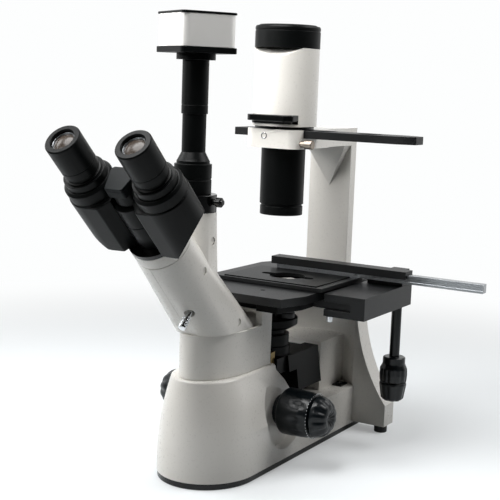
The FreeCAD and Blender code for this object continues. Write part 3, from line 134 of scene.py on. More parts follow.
# Moulded ABS knobs: blue-black with a soft sheen that rolls round the drum
knobPlastic = makeMaterial("moulded black ABS", {
    "colours": ("#04080a", "#070d11"), "cloud": 25, "grain": 1.2, "depth": 0.008,
    "rough": (0.27, 0.35), "shader": {"IOR": 1.5, "Specular IOR Level": 0.32}})

# Bead-blasted anodised aluminium: pale silver, evenly matt, bright where it faces the light
silverCase = makeMaterial("bead blasted aluminium", {
    "colours": ("#e6e4e0", "#ecebe8"), "cloud": 30, "grain": 0.5, "depth": 0.004,
    "rough": (0.42, 0.5), "shader": {"Metallic": 0.5}})

# Chrome plating: a clean mirror with hardly any haze
chrome = makeMaterial("chrome plate", {
    "colours": ("#c9cbcd", "#d2d4d6"), "cloud": 20, "grain": 1.0, "depth": 0.002,
    "rough": (0.08, 0.14), "shader": {"Metallic": 1.0}})

# Ground steel rail and shafts: grey metal with a soft streakless haze
groundSteel = makeMaterial("ground steel", {
    "colours": ("#9a9da0", "#a8abae"), "cloud": 20, "grain": 0.6, "depth": 0.003,
    "rough": (0.26, 0.36), "shader": {"Metallic": 1.0}})

# Nickel-plated lock knob: a warm grey metal with a blurred reflection
warmNickel = makeMaterial("brushed nickel", {
    "colours": ("#8d8378", "#9b9186"), "cloud": 8, "grain": 0.5, "depth": 0.004,
    "rough": (0.28, 0.38), "shader": {"Metallic": 1.0}})

# Moulded rubber feet: dead matt near black
rubber = makeMaterial("moulded rubber", {
    "colours": ("#0d0e0e", "#121313"), "cloud": 15, "grain": 0.7, "depth": 0.02,
    "rough": (0.62, 0.75), "shader": {"IOR": 1.52}})

# Coated eyepiece glass over a dark barrel: a dim brown-grey pool with bright glints at its rim
eyeGlass = makeMaterial("coated lens glass", {
    "colours": ("#2e2823", "#3a322b"), "cloud": 6, "grain": 3.0, "depth": 0.001,
    "rough": (0.2, 0.28), "shader": {"IOR": 1.3}})

# Clear ground glass of the lamp and the light path
clearGlass = makeMaterial("polished crown glass", {
    "colours": ("#e9f1f0", "#eef5f4"), "cloud": 12, "grain": 3.0, "depth": 0.001,
    "rough": (0.02, 0.05), "shader": {"IOR": 1.52, "Transmission Weight": 1.0}})

# Solder mask on the circuit boards: dull green with a plastic sheen
solderMask = makeMaterial("green solder mask", {
    "colours": ("#1d5c3a", "#236843"), "cloud": 9, "grain": 0.6, "depth": 0.01,
    "rough": (0.34, 0.44), "shader": {"IOR": 1.5}})

# Turned brass of the focus rack
brass = makeMaterial("turned brass", {
    "colours": ("#6b5a34", "#7a683e"), "cloud": 12, "grain": 0.6, "depth": 0.004,
    "rough": (0.25, 0.35), "shader": {"Metallic": 1.0}})
print("materials made:", len(bpy.data.materials))


# Places: from a piece's own axes to the stand's

def standing(x=0.0, y=0.0, z=0.0):
    return lambda p: p + np.array([x, y, z])


# x stays, the second axis climbs away from the user and the third climbs towards them at 45 degrees
def inclined(x=0.0, q=0.0):
    def place(p):
        across = p[..., 1] + q
        along = p[..., 2]
        level = (across - along) * rootHalf
        return np.stack([p[..., 0] + x, level, mirrorZ + (across + along) * rootHalf], -1)
    return place


# The third axis runs along X to one side
def sideways(y, z, side=1):
    return lambda p: np.stack([side * p[..., 2], p[..., 0] + y, p[..., 1] + z], -1)


# Shapes

# Each corner becomes a parabola that leaves and meets its sides at a tangent length, at most 0.48 of a side
def softCorners(points, radius, steps=5, closed=False):
    p = np.asarray(points, float)
    radius = np.broadcast_to(np.asarray(radius, float), (len(p),))
    before = np.roll(p, 1, 0) - p
    after = np.roll(p, -1, 0) - p
    longB = np.linalg.norm(before, axis=1)
    longA = np.linalg.norm(after, axis=1)
    cosine = (before * after).sum(1) / (longB * longA)
    half = (math.pi - np.arccos(np.clip(cosine, -1, 1))) / 2
    reach = np.minimum(radius * np.tan(np.minimum(half, 1.5)), 0.48 * np.minimum(longB, longA))
    first = p + before * (reach / longB)[:, None]
    last = p + after * (reach / longA)[:, None]
    w = np.linspace(0, 1, steps + 1)[None, :, None]
    arcs = (1 - w) ** 2 * first[:, None] + 2 * w * (1 - w) * p[:, None] + w ** 2 * last[:, None]
    if closed:
        return arcs.reshape(-1, 2)
    return np.concatenate([p[:1], arcs[1:-1].reshape(-1, 2), p[-1:]])


# Turned shape: a point (r, h) of the profile goes to (r cos a, r sin a, h), with r lowered by a dent
def spin(profile, segments=128, dent=None):
    angle = np.linspace(0, fullTurn, segments, endpoint=False)[None, :]
    r = np.asarray(profile)[:, 0][:, None]
    h = np.asarray(profile)[:, 1][:, None] + 0 * angle
    if dent is not None:
        r = r - dent(angle, h)
    return np.stack([r * np.cos(angle), r * np.sin(angle), h], -1)


# Square knurl: a step of one depth over half of each tooth, between two heights
def knurl(teeth, depth, low, high, share=0.0):
    return lambda a, h: depth * (np.cos(a * teeth) > share) * ((h > low) & (h < high))


# Plate: the outline is drawn in by r (1 - sin t) below and r (1 - cos t) above while each edge turns
def slab(outline, low, high, roundLow=0.6, roundHigh=0.6, steps=4):
    ahead = np.roll(outline, -1, 0) - outline
    ahead = ahead / np.linalg.norm(ahead, axis=1)[:, None]
    normal = np.stack([-ahead[:, 1], ahead[:, 0]], -1)
    previous = np.roll(normal, 1, 0)
    mitre = (previous + normal) / (1 + (previous * normal).sum(1))[:, None]
    t = np.linspace(0, math.pi / 2, steps + 1)
    lip = 0.5
    inset = np.concatenate([[roundLow + lip], roundLow * (1 - np.sin(t)), roundHigh * (1 - np.cos(t)),
                            [roundHigh + lip]])
    height = np.concatenate([[low], low + roundLow * (1 - np.cos(t)), high - roundHigh * (1 - np.sin(t)),
                             [high]])
    flat = outline[None] + inset[:, None, None] * mitre[None]
    return np.concatenate([flat, np.broadcast_to(height[:, None, None], flat.shape[:2] + (1,))], -1)


# Rounded rectangle, counter-clockwise
def roundBox(halfX, halfY, corner, x=0.0, y=0.0, steps=8):
    corners = [(-halfX, -halfY), (halfX, -halfY), (halfX, halfY), (-halfX, halfY)]
    return softCorners(corners, corner, steps, closed=True) + np.array([x, y])


# Half an ellipse in front, straight sides and a flat rear, counter-clockwise from the rear left
def noseOutline(half, front, nose, rear, arc=64, side=28):
    a = np.linspace(-math.pi / 2, math.pi / 2, arc)
    curve = np.stack([half * np.sin(a), front + nose * (1 - np.cos(a))], -1)
    y = np.linspace(front + nose, rear, side)[1:]
    right = np.stack([0 * y + half, y], -1)
    left = np.stack([0 * y - half, y[::-1]], -1)
    return np.concatenate([left[:-1], curve, right])


# Plain box from its low corner to its high one
def box(low, high):
    x0, y0, z0 = low
    x1, y1, z1 = high
    plan = np.array([(x0, y0), (x1, y0), (x1, y1), (x0, y1)], float)
    return np.stack([np.concatenate([plan, np.full((4, 1), z)], 1) for z in (z0, z1)])


# Straight bar along the first axis: the same flat section at both ends
def prism(section, near, far):
    both = np.stack([np.asarray(section, float)] * 2)
    ends = np.array([near, far], float)[:, None, None]
    return np.concatenate([ends + 0 * both[..., :1], both], -1)


# A grid of rows as one surface: quads between rows, closed round each row, and a face over each end
def surface(grid, capped=True, around=True, looped=False):
    rows, columns = grid.shape[:2]
    index = np.arange(rows * columns).reshape(rows, columns)
    wide = np.concatenate([index, index[:, :1]], 1) if around else index
    tall = np.concatenate([wide, wide[:1]], 0) if looped else wide
    quads = np.stack([tall[:-1, :-1], tall[:-1, 1:], tall[1:, 1:], tall[1:, :-1]], -1).reshape(-1, 4)
    faces = [quads]
    if capped and not looped:
        faces += [index[:1, ::-1], index[-1:]]
    return grid.reshape(-1, 3), faces


# A mesh from surfaces in millimetres, welded and with its faces turned outwards
def meshFrom(name, surfaces, place=None, weld=0.002):
    points, faces, start = [], [], 0
    for spots, groups in surfaces:
        points.append(spots)
        faces += [group + start for group in groups]
        start += len(spots)
    spots = np.concatenate(points)
    if place is not None:
        spots = place(spots)
    corners = np.concatenate([group.ravel() for group in faces])
    sizes = np.concatenate([np.full(len(group), group.shape[1]) for group in faces])
    mesh = bpy.data.meshes.new(name)
    mesh.vertices.add(len(spots))
    mesh.vertices.foreach_set("co", (spots * mm).astype(np.float32).ravel())
    mesh.loops.add(len(corners))
    mesh.loops.foreach_set("vertex_index", corners.astype(np.int32))
    mesh.polygons.add(len(sizes))
    starts = np.concatenate([[0], np.cumsum(sizes)[:-1]])
    mesh.polygons.foreach_set("loop_start", starts.astype(np.int32))
    mesh.update(calc_edges=True)
    shape = bmesh.new()
    shape.from_mesh(mesh)
    bmesh.ops.remove_doubles(shape, verts=shape.verts, dist=weld * mm)
    bmesh.ops.dissolve_degenerate(shape, edges=shape.edges, dist=weld * mm)
    bmesh.ops.recalc_face_normals(shape, faces=shape.faces)
    shape.to_mesh(mesh)
    shape.free()
    mesh.update()
    return mesh


def addObject(name, mesh):
    piece = bpy.data.objects.new(name, mesh)
    bpy.context.scene.collection.objects.link(piece)
    return piece


# Cuts, joins or keeps common parts of a piece with other closed surfaces
def combine(piece, others, operation, place=None):
    tools = [addObject("tool", meshFrom("tool", [other], place)) for other in others]
    for tool in tools:
        step = piece.modifiers.new("combine", "BOOLEAN")
        step.operation = operation
        step.solver = "EXACT"
        step.object = tool
    ready = piece.evaluated_get(bpy.context.evaluated_depsgraph_get())
    whole = bpy.data.meshes.new_from_object(ready)
    piece.modifiers.clear()
    piece.data = whole
    for tool in tools:
        bpy.data.objects.remove(tool)
    return piece


# Welds near-coincident corners that a cut leaves, and clears edges inside flat faces
def clean(piece, weld=0.05, flat=0.3):
    shape = bmesh.new()
    shape.from_mesh(piece.data)
    bmesh.ops.remove_doubles(shape, verts=shape.verts, dist=weld * mm)
    bmesh.ops.dissolve_limit(shape, angle_limit=math.radians(flat), verts=shape.verts, edges=shape.edges)
    bmesh.ops.recalc_face_normals(shape, faces=shape.faces)
    shape.to_mesh(piece.data)
    shape.free()


# Last steps of every piece: edges sharper than a limit are rounded or kept, the rest is smooth
def finishPiece(piece, body, material, slot, replaces=(), edge=0.0, sharp=35, steps=3):
    mesh = piece.data
    mesh.materials.clear()
    mesh.materials.append(material)
    mesh.polygons.foreach_set("material_index", np.zeros(len(mesh.polygons), np.int32))
    mesh.shade_smooth()
    if edge:
        rounding = piece.modifiers.new("edges", "BEVEL")
        rounding.width = edge * mm
        rounding.segments = steps
        rounding.limit_method = "ANGLE"
        rounding.angle_limit = math.radians(sharp)
        rounding.use_clamp_overlap = True
    else:
        mesh.set_sharp_from_angle(angle=math.radians(sharp))
    weighted = piece.modifiers.new("shading", "WEIGHTED_NORMAL")
    weighted.keep_sharp = True
    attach(piece, body)
    if replaces:
        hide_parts(*replaces)
    return piece


def makePiece(name, surfaces, body, material, slot, replaces=(), place=None, **last):
    piece = addObject(name, meshFrom(name, surfaces, place))
    return finishPiece(piece, body, material, slot, replaces, **last)


# A copy of a node's own mesh with its edges rounded, which then stands for the node
def softEdges(node, name, body, material, slot, edge=0.5, **last):
    shape = bmesh.new()
    shape.from_mesh(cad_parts[node].data)
    bmesh.ops.remove_doubles(shape, verts=shape.verts, dist=0.002 * mm)
    bmesh.ops.dissolve_limit(shape, angle_limit=math.radians(0.3), verts=shape.verts, edges=shape.edges)
    mesh = bpy.data.meshes.new(name)
    shape.to_mesh(mesh)
    shape.free()
    return finishPiece(addObject(name, mesh), body, material, slot, (node,), edge=edge, **last)


# Camera at the photograph's angle
def makeCamera():
    view = {"turn": 30.76, "dip": 8.48, "roll": 2.07, "focalPixels": 1134.88, "framePixels": 500,
            "sensor": 36.0, "near": 0.05, "far": 20.0, "eye": (589.56, -1052.39, 390.3)}
    turn, dip, roll = (math.radians(view[key]) for key in ("turn", "dip", "roll"))
    ahead = np.array([-math.sin(turn) * math.cos(dip), math.cos(turn) * math.cos(dip), -math.sin(dip)])
    level = np.array([math.cos(turn), math.sin(turn), 0])
    over = np.cross(level, ahead)
    right = level * math.cos(roll) + over * math.sin(roll)
    up = over * math.cos(roll) - level * math.sin(roll)
    data = bpy.data.cameras.new("camera")
    data.sensor_width = view["sensor"]
    data.lens = view["focalPixels"] / view["framePixels"] * view["sensor"]
    data.clip_start = view["near"]
    data.clip_end = view["far"]
    camera = bpy.data.objects.new("camera", data)
    bpy.context.scene.collection.objects.link(camera)
    matrix = np.eye(4)
    matrix[:3, 0] = right
    matrix[:3, 1] = up
    matrix[:3, 2] = -ahead
    matrix[:3, 3] = np.array(view["eye"]) * mm
    camera.matrix_world = Matrix(matrix.tolist())
    bpy.context.scene.camera = camera


makeCamera()
print("camera placed")


# Base: a rubber-edged plate, the casting and the neck

basePart = {"edge": 1.3, "crease": 50.0, "blendFrom": -150.0, "blendTo": -100.0, "rimRound": 3.2,
            "half": 50.5, "front": -184.0, "nose": 57.0, "rear": 118.0, "low": 6.3,
            "rimHalf": 34.5, "rimFront": -173.5, "rimNose": 41.0, "rim": 104.0, "rimRear": 118.0,
            "shoulderY": -61.5, "shoulderZ": 98.0, "dishY": -60.0, "dishZ": 57.0, "dishR": 38.5,
            "dishFloor": 40.0, "dishDepth": 26.0, "dishFlare": 3.0, "power": 2.1, "past": 20.0, "wide": 80.0}


# Body: the lower outline turns into the rim's as w rises from 0 to 1. In front w is a smooth power of the
# height, at the sides it stays 0 up to the crease and then rises evenly
def baseBody(part):
    arc, side = 96, 70
    lower = noseOutline(part["half"], part["front"], part["nose"], part["rear"], arc, side)
    upper = noseOutline(part["rimHalf"], part["rimFront"], part["rimNose"], part["rimRear"], arc, side)
    crease, rim = part["crease"], part["rim"]
    z = np.concatenate([np.linspace(part["low"], crease - 1.5, 12), crease + np.array([-0.5, 0.5]),
                        np.linspace(crease + 2, rim - part["rimRound"], 30)])[:, None]
    sharp = np.clip((z - crease) / (rim - crease), 0, 1)
    rise = np.clip((z - part["low"] - 8) / (rim - part["low"] - 8), 0, 1)
    smooth = rise ** part["power"]
    c = (lower[:, 1] - part["blendFrom"]) / (part["blendTo"] - part["blendFrom"])
    c = np.clip(c, 0, 1)[None, :]
    c = c * c * (3 - 2 * c)
    w = (c * sharp + (1 - c) * smooth)[..., None]
    flat = lower[None] * (1 - w) + upper[None] * w
    wall = np.concatenate([flat, np.broadcast_to(z[..., None], flat.shape[:2] + (1,))], -1)
    lip = slab(wall[-1][:, :2], part["low"], rim, 0.1, part["rimRound"], steps=6)[8:]
    piece = addObject("baseBody", meshFrom("baseBody", [surface(np.concatenate([wall, lip]))]))
    y0, end, top = part["shoulderY"], part["rear"] + part["past"], rim + part["past"]
    section = [(y0, part["shoulderZ"]), (y0 + part["shoulderZ"] - crease, crease), (end, crease), (end, top),
               (y0, top)]
    combine(piece, [surface(prism(section, -part["wide"], part["wide"]))], "DIFFERENCE")
    r, floor = part["dishR"], part["dishFloor"]
    cup = spin([(r, floor), (r + part["dishFlare"], floor + part["dishDepth"])], 160)
    dishes = [surface(sideways(part["dishY"], part["dishZ"], way)(cup)) for way in (-1, 1)]
    combine(piece, dishes, "DIFFERENCE")
    clean(piece, 0.4, 0.2)
    finishPiece(piece, "stand", enamel, "white_enamel", ("base_body",), edge=part["edge"], sharp=38,
                steps=4)


baseBody(basePart)
softEdges("base_plate", "basePlate", "stand", glossBlack, "black_anodised", 1.0)
softEdges("neck_shell", "neckShell", "stand", enamel, "white_enamel", 0.9, steps=3)
softEdges("rear_tower", "rearTower", "stand", enamel, "white_enamel", 2.2, steps=4)
softEdges("pillar", "pillar", "stand", enamel, "white_enamel", 1.0)
softEdges("illumination_arm", "illuminationArm", "stand", enamel, "white_enamel", 1.1)
softEdges("rear_feet", "rearFeet", "stand", rubber, "rubber_foot", 1.0)
softEdges("switch_bezel", "switchBezel", "stand", glossBlack, "black_plastic", 0.4)
softEdges("switch_rocker", "switchRocker", "rocker", knobPlastic, "knob_plastic", 0.4)
softEdges("mains_inlet", "mainsInlet", "stand", satinBlack, "black_plastic", 0.4)
print("base, tower and pillar made")


# Focus knobs

knobPart = {"y": -60.0, "z": 57.0, "coarseIn": 41.0, "hub": 7.0, "coarseOut": 83.5, "coarseR": 24.0,
            "fineOut": 101.0, "fineR": 21.5, "dimples": 10, "coarseDimple": 1.3, "fineDimple": 1.7,
            "bore": 6.0, "neck": 16.0, "ticks": 40, "tickR": 22.7, "dotR": 0.5}


# Oval finger dimples: depth times a raised cosine round the knob and another along it
def dimpleField(count, depth, low, high):
    def dent(angle, h):
        around = np.clip(np.cos(angle * count) * 0.5 + 0.5, 0, 1) ** 1.6
        middle, reach = (low + high) / 2, (high - low) / 2
        along = np.clip(1 - ((h - middle) / reach) ** 2, 0, 1) ** 1.5
        return depth * around * along
    return dent


# Keeps profile points at least a step apart, after each side is divided evenly
def refine(profile, step, parts=26, least=0.05):
    far = np.linspace(0, 1, parts)[:, None]
    dense = (profile[:-1, None] * (1 - far[None]) + profile[1:, None] * far[None]).reshape(-1, 2)
    dense = dense[np.concatenate([[True], np.linalg.norm(np.diff(dense, axis=0), axis=1) > least])]
    gone = np.concatenate([[0], np.cumsum(np.linalg.norm(np.diff(dense, axis=0), axis=1))])
    marks = np.unique(np.concatenate([np.arange(0, gone[-1], step), [gone[-1]]]))
    return np.stack([np.interp(marks, gone, dense[:, i]) for i in (0, 1)], -1)


def focusKnobs(part):
    def bothSides(grids):
        return [sideways(part["y"], part["z"], way)(grid) for way in (1, -1) for grid in grids]

    x0, x1, r, bore, neck = part["coarseIn"], part["coarseOut"], part["coarseR"], part["bore"], part["neck"]
    hub = x0 + part["hub"]
    drum = softCorners([(bore, x0), (neck, x0), (neck, hub), (r - 2, hub), (r, hub + 3), (r, hub + 11),
                        (r - 0.5, hub + 11.6), (r - 0.5, hub + 12.6), (r, hub + 13.2), (r, x1 - 9),
                        (r - 2.2, x1), (bore, x1)], [0, 1, 1, 2, 2, 0.3, 0.3, 0.3, 0.3, 4, 1.5, 0])
    dent = dimpleField(part["dimples"], part["coarseDimple"], hub + 14, x1 - 1)
    coarse = spin(refine(drum, 0.9), 240, dent)
    makePiece("coarseKnobs", [surface(grid, False, looped=True) for grid in bothSides([coarse])],
              "coarse_focus", knobPlastic, "knob_plastic", ("coarse_knobs",))
    x0, x1, r = part["coarseOut"] + 0.5, part["fineOut"], part["fineR"]
    dome = softCorners([(0, x1 - 3), (3, x1 - 3), (9.5, x1), (r - 6.5, x1 - 1.5), (r - 1.2, x1 - 8.5),
                        (r, x0 + 2.0), (r - 0.6, x0 + 1.2), (r - 1, x0), (0, x0)],
                       [0, 1, 3, 4, 8, 2, 0.4, 0.4, 0])
    dent = dimpleField(part["dimples"], part["fineDimple"], x0 + 2.5, x1 + 3)
    fine = spin(refine(dome, 0.8), 240, dent)
    makePiece("fineKnobs", [surface(grid, False) for grid in bothSides([fine])], "fine_focus", knobPlastic,
              "knob_plastic", ("fine_knobs",))
    h, r = part["coarseOut"], part["dotR"]
    dot = spin([(0, h - 0.4), (r, h - 0.4), (r, h + 0.3), (0, h + 0.3)], 8)
    around = np.linspace(0, fullTurn, part["ticks"], endpoint=False)
    spots = np.stack([np.cos(around), np.sin(around), 0 * around], -1) * part["tickR"]
    makePiece("coarseScales", [surface(grid, False) for grid in bothSides(dot + spots[:, None, None])],
              "coarse_focus", groundSteel, "steel", sharp=30)


focusKnobs(knobPart)
dialPart = {"y": 60.0, "z": 30.0, "r": 11.0, "stemR": 3.0, "stem": 38.5, "near": 51.0, "far": 63.5,
            "crown": 65.0, "teeth": 36, "tooth": 0.35}


def brightnessDial(part):
    r, stemR, near, far, crown = part["r"], part["stemR"], part["near"], part["far"], part["crown"]
    profile = softCorners([(stemR, part["stem"]), (stemR, near), (r, near), (r, far), (r - 3, crown),
                           (0, crown)], [0, 0, 0.6, 1.2, 1.5, 0])
    dial = spin(profile, 144, knurl(part["teeth"], part["tooth"], near + 1, far - 1))
    makePiece("brightnessDial", [surface(sideways(part["y"], part["z"], -1)(dial))], "dial", knobPlastic,
              "knob_plastic", ("brightness_dial",))


brightnessDial(dialPart)
print("focus knobs and dial made")


# Head: two shells on the inclined axis with a tower for the camera port

headPart = {"lowS": 140.0, "highS": 307.0, "lowHalf": 30.5, "lowQ": 31.0, "lowCorner": 19.0, "highR": 27.0,
            "neckTop": 148.0, "portY": -171.2, "portR": 23.5, "portLowR": 26.5, "portLow": 196.0,
            "portTop": 267.5, "seam": 0.18, "rodX": 13.0, "rodS": 242.0, "holeR": 5.0, "holeEnd": -17.5,
            "rodR": 2.65, "rodEnd": -2.0, "drillStart": -60.0, "plugR": 3.7, "plugDepth": 1.6, "capR": 3.3,
            "capDish": 0.8, "edge": 0.35}
plugPlaces = [(side, q, s, wide) for side in (-1, 1)
              for q, s, wide in ((4.0, 270.0, 26.7), (6.0, 186.0, 29.0), (34.5, 276.0, 24.0))]


# Section at height s: a rounded rectangle whose corner grows until it is a circle at the collar
def headTube(part, segments=160, rows=40):
    w = np.linspace(0, 1, rows)[:, None]
    halfX, halfQ, corner = (part[key] + (part["highR"] - part[key]) * w
                            for key in ("lowHalf", "lowQ", "lowCorner"))
    angle = np.linspace(0, fullTurn, segments, endpoint=False)[None, :]

    def across(half, turn):
        return np.sign(turn) * (half - corner) * np.minimum(1, np.abs(turn) * 8) + corner * turn
    s = part["lowS"] + (part["highS"] - part["lowS"]) * w + 0 * angle
    return np.stack([across(halfX, np.cos(angle)), across(halfQ, np.sin(angle)), s], -1)


# A drilled hole or a dished plug across the side of the head, along X
def sidePlug(side, q, s, near, far, r, dish=0.0):
    end = [(r - dish, far), (0, far - dish)] if dish else [(0, far)]
    turned = spin([(0, near), (r, near), (r, far)] + end, 48)
    return inclined()(np.stack([side * turned[..., 2], turned[..., 0] + q, turned[..., 1] + s], -1))


# The head's own axes with a turned shape laid along q
def alongRod(turned, x, s):
    return np.stack([turned[..., 0] + x, turned[..., 2], turned[..., 1] + s], -1)


def headShells(part):
    whole = addObject("headWhole", meshFrom("headWhole", [surface(headTube(part))], inclined()))
    tower = spin([(part["portLowR"], part["portLow"]), (part["portR"], part["portTop"])], 160)
    combine(whole, [surface(standing(0, part["portY"])(tower))], "UNION")
    block = slab(roundBox(200, 200, 1), -100, part["neckTop"], 0.1, 0.1)
    hole = spin([(part["holeR"], part["drillStart"]), (part["holeR"], part["holeEnd"])], 64)
    bore = spin([(part["rodR"], part["drillStart"]), (part["rodR"], part["rodEnd"])], 48)
    drills = [surface(inclined()(alongRod(turned, part["rodX"], part["rodS"]))) for turned in (hole, bore)]
    plugs = [surface(sidePlug(side, q, s, wide - part["plugDepth"], wide + 12, part["plugR"]))
             for side, q, s, wide in plugPlaces]
    combine(whole, [surface(standing(0, -200)(block))] + drills + plugs, "DIFFERENCE")
    for name, side in (("headShellLeft", -1), ("headShellRight", 1)):
        mesh = whole.data.copy()
        shell = addObject(name, mesh)
        shape = bmesh.new()
        shape.from_mesh(mesh)
        everything = shape.verts[:] + shape.edges[:] + shape.faces[:]
        cut = bmesh.ops.bisect_plane(shape, geom=everything, dist=1e-6, plane_no=(-side, 0, 0),
                                     plane_co=(side * part["seam"] * mm, 0, 0), clear_outer=True)
        rim = [e for e in cut["geom_cut"] if isinstance(e, bmesh.types.BMEdge)]
        bmesh.ops.contextual_create(shape, geom=rim)
        shape.to_mesh(mesh)
        shape.free()
        clean(shell, 0.15, 0.2)
        node = "head_shell_left" if side < 0 else "head_shell_right"
        finishPiece(shell, "stand", enamel, "white_enamel", (node,), edge=part["edge"], sharp=38)
    bpy.data.objects.remove(whole)
    caps = [surface(sidePlug(side, q, s, wide - 1.5, wide - 0.5, part["capR"], part["capDish"]))
            for side, q, s, wide in plugPlaces]
    makePiece("headPlugs", caps, "stand", enamel, "white_enamel", ("head_plugs",))


headShells(headPart)


# A turned piece, closed on itself as a ring or, when it isn't looped, ended on its own axis
def turnedRing(name, profile, body, material, slot, replaces, place, radius=0.4, looped=True):
    grid = spin(softCorners(profile, radius, closed=looped), 144)
    return makePiece(name, [surface(grid, False, looped=looped)], body, material, slot, replaces, place)


# Square section of a ring from its bore to its rim
def ringSection(inner, outer, low, high):
    return [(inner, low), (outer, low), (outer, high), (inner, high)]


turnedRing("headCollar", ringSection(20, 26.9, 307.4, 319.8), "stand", enamel, "white_enamel",
           ("head_collar",), inclined())

rodPart = {"x": 13.0, "s": 242.0, "r": 2.6, "tip": -44.0, "gripR": 4.0, "gripEnd": -32.0, "in": -3.0,
           "grooves": 3, "pitch": 3.0, "prismX": 10.8, "prismQ": 5.9, "prismAt": 4.8, "prismHalf": 7.0}


# Knurled pull rod: a stem, a grip with three grooves and a plain domed end
def pathRod(part):
    r, g = part["r"], part["gripR"]
    tip, pitch, s, half = part["tip"], part["pitch"], part["s"], part["prismHalf"]
    steps = [(0, tip), (g - 0.6, tip), (g, tip + 0.8), (g, tip + 3)]
    for i in range(part["grooves"]):
        q = tip + (i + 1) * pitch
        steps += [(g - 1.1, q + 0.2), (g - 1.1, q + 1.2), (g, q + 1.4), (g, q + pitch)]
    steps += [(r, part["gripEnd"] + 0.4), (r, part["in"]), (0, part["in"])]
    turned = alongRod(spin(softCorners(steps, 0.3), 64), part["x"], s)
    plan = roundBox(part["prismX"], part["prismQ"], 0.5, part["prismAt"], 0)
    block = slab(plan, s - half, s + half, 0.3, 0.3)
    makePiece("pathRod", [surface(turned), surface(block)], "light_path_rod", chrome, "chrome", ("path_rod",),
              inclined())


pathRod(rodPart)
print("head made")


# Binocular head

barrelPart = {"bore": 9.0, "discR": 26.9, "disc": (320.0, 324.5), "tubeR": 12.0, "neckR": 13.4, "low": 323.0,
              "neck": 378.0, "plateLow": 389.0, "plateSplit": 397.2, "plateTop": 400.5, "plateR": 16.9}
facePlateCorners = {(-9, -14): 2.5, (9, -14): 2.5, (14, 6): 4, (13, 12): 3, (-13, 12): 3, (-14, 6): 4}


# Face plate outline: a rounded six-sided plan, drawn in to radius r above q = -3 so that the rings pass
def facePlan(r):
    plan = softCorners(list(facePlateCorners), list(facePlateCorners.values()), 8, True)
    gone = np.linalg.norm(plan, axis=1)
    scale = np.where(plan[:, 1] > -3, np.minimum(1, r / gone), 1)
    return plan * scale[:, None]


def binocularBarrel(part):
    bore, r, neckR, low, neck = (part[key] for key in ("bore", "tubeR", "neckR", "low", "neck"))
    plate, split = part["plateLow"], part["plateSplit"]
    turnedRing("barrelDisc", ringSection(bore, part["discR"], *part["disc"]), "stand", glossBlack,
               "black_anodised", ("binocular_barrel",), inclined(), 0.5)
    tube = [(bore, low), (r, low), (r, neck), (neckR, neck + 0.1), (neckR, plate + 1), (bore, plate + 1)]
    turnedRing("hingeBarrel", tube, "stand", satinBlack, "black_anodised", (), inclined(), 0.2)
    lower = slab(facePlan(neckR), plate, split - 0.1, 0.8, 0.2)
    upper = slab(facePlan(part["plateR"]), split + 0.2, part["plateTop"], 0.5, 0.9, 5)
    # The face plate takes the satin black lacquer with painted light, coloured lighter as if lit
    makePiece("facePlate", [surface(lower), surface(upper)], "stand", litSatinBlack, "black_anodised", (),
              inclined())


binocularBarrel(barrelPart)

armPart = {"eye": 37.0, "r": 24.0, "low": 325.0, "top": 384.5, "hubR": 17.5, "split": 352.0, "hubTop": 375.0,
           "hubBore": 12.1, "neckR": 13.9, "wedgeX": 38.0, "wedgeSlope": 1.2, "reach": 60.0, "edge": 0.9,
           "collarR": 23.0, "seat": 397.2, "seatR": 19.5, "sleeveTop": 404.0, "sleeveR": 17.0, "bore": 15.1,
           "boreFrom": 366.0, "gap": 0.2, "notches": 36, "notch": 0.45}
cheekPlan = {(12, -12.7): 2, (20.6, -23.5): 2.6, (37, -24): 2, (37, 23.6): 2, (25, 20.8): 2.6, (12, 12.7): 2}


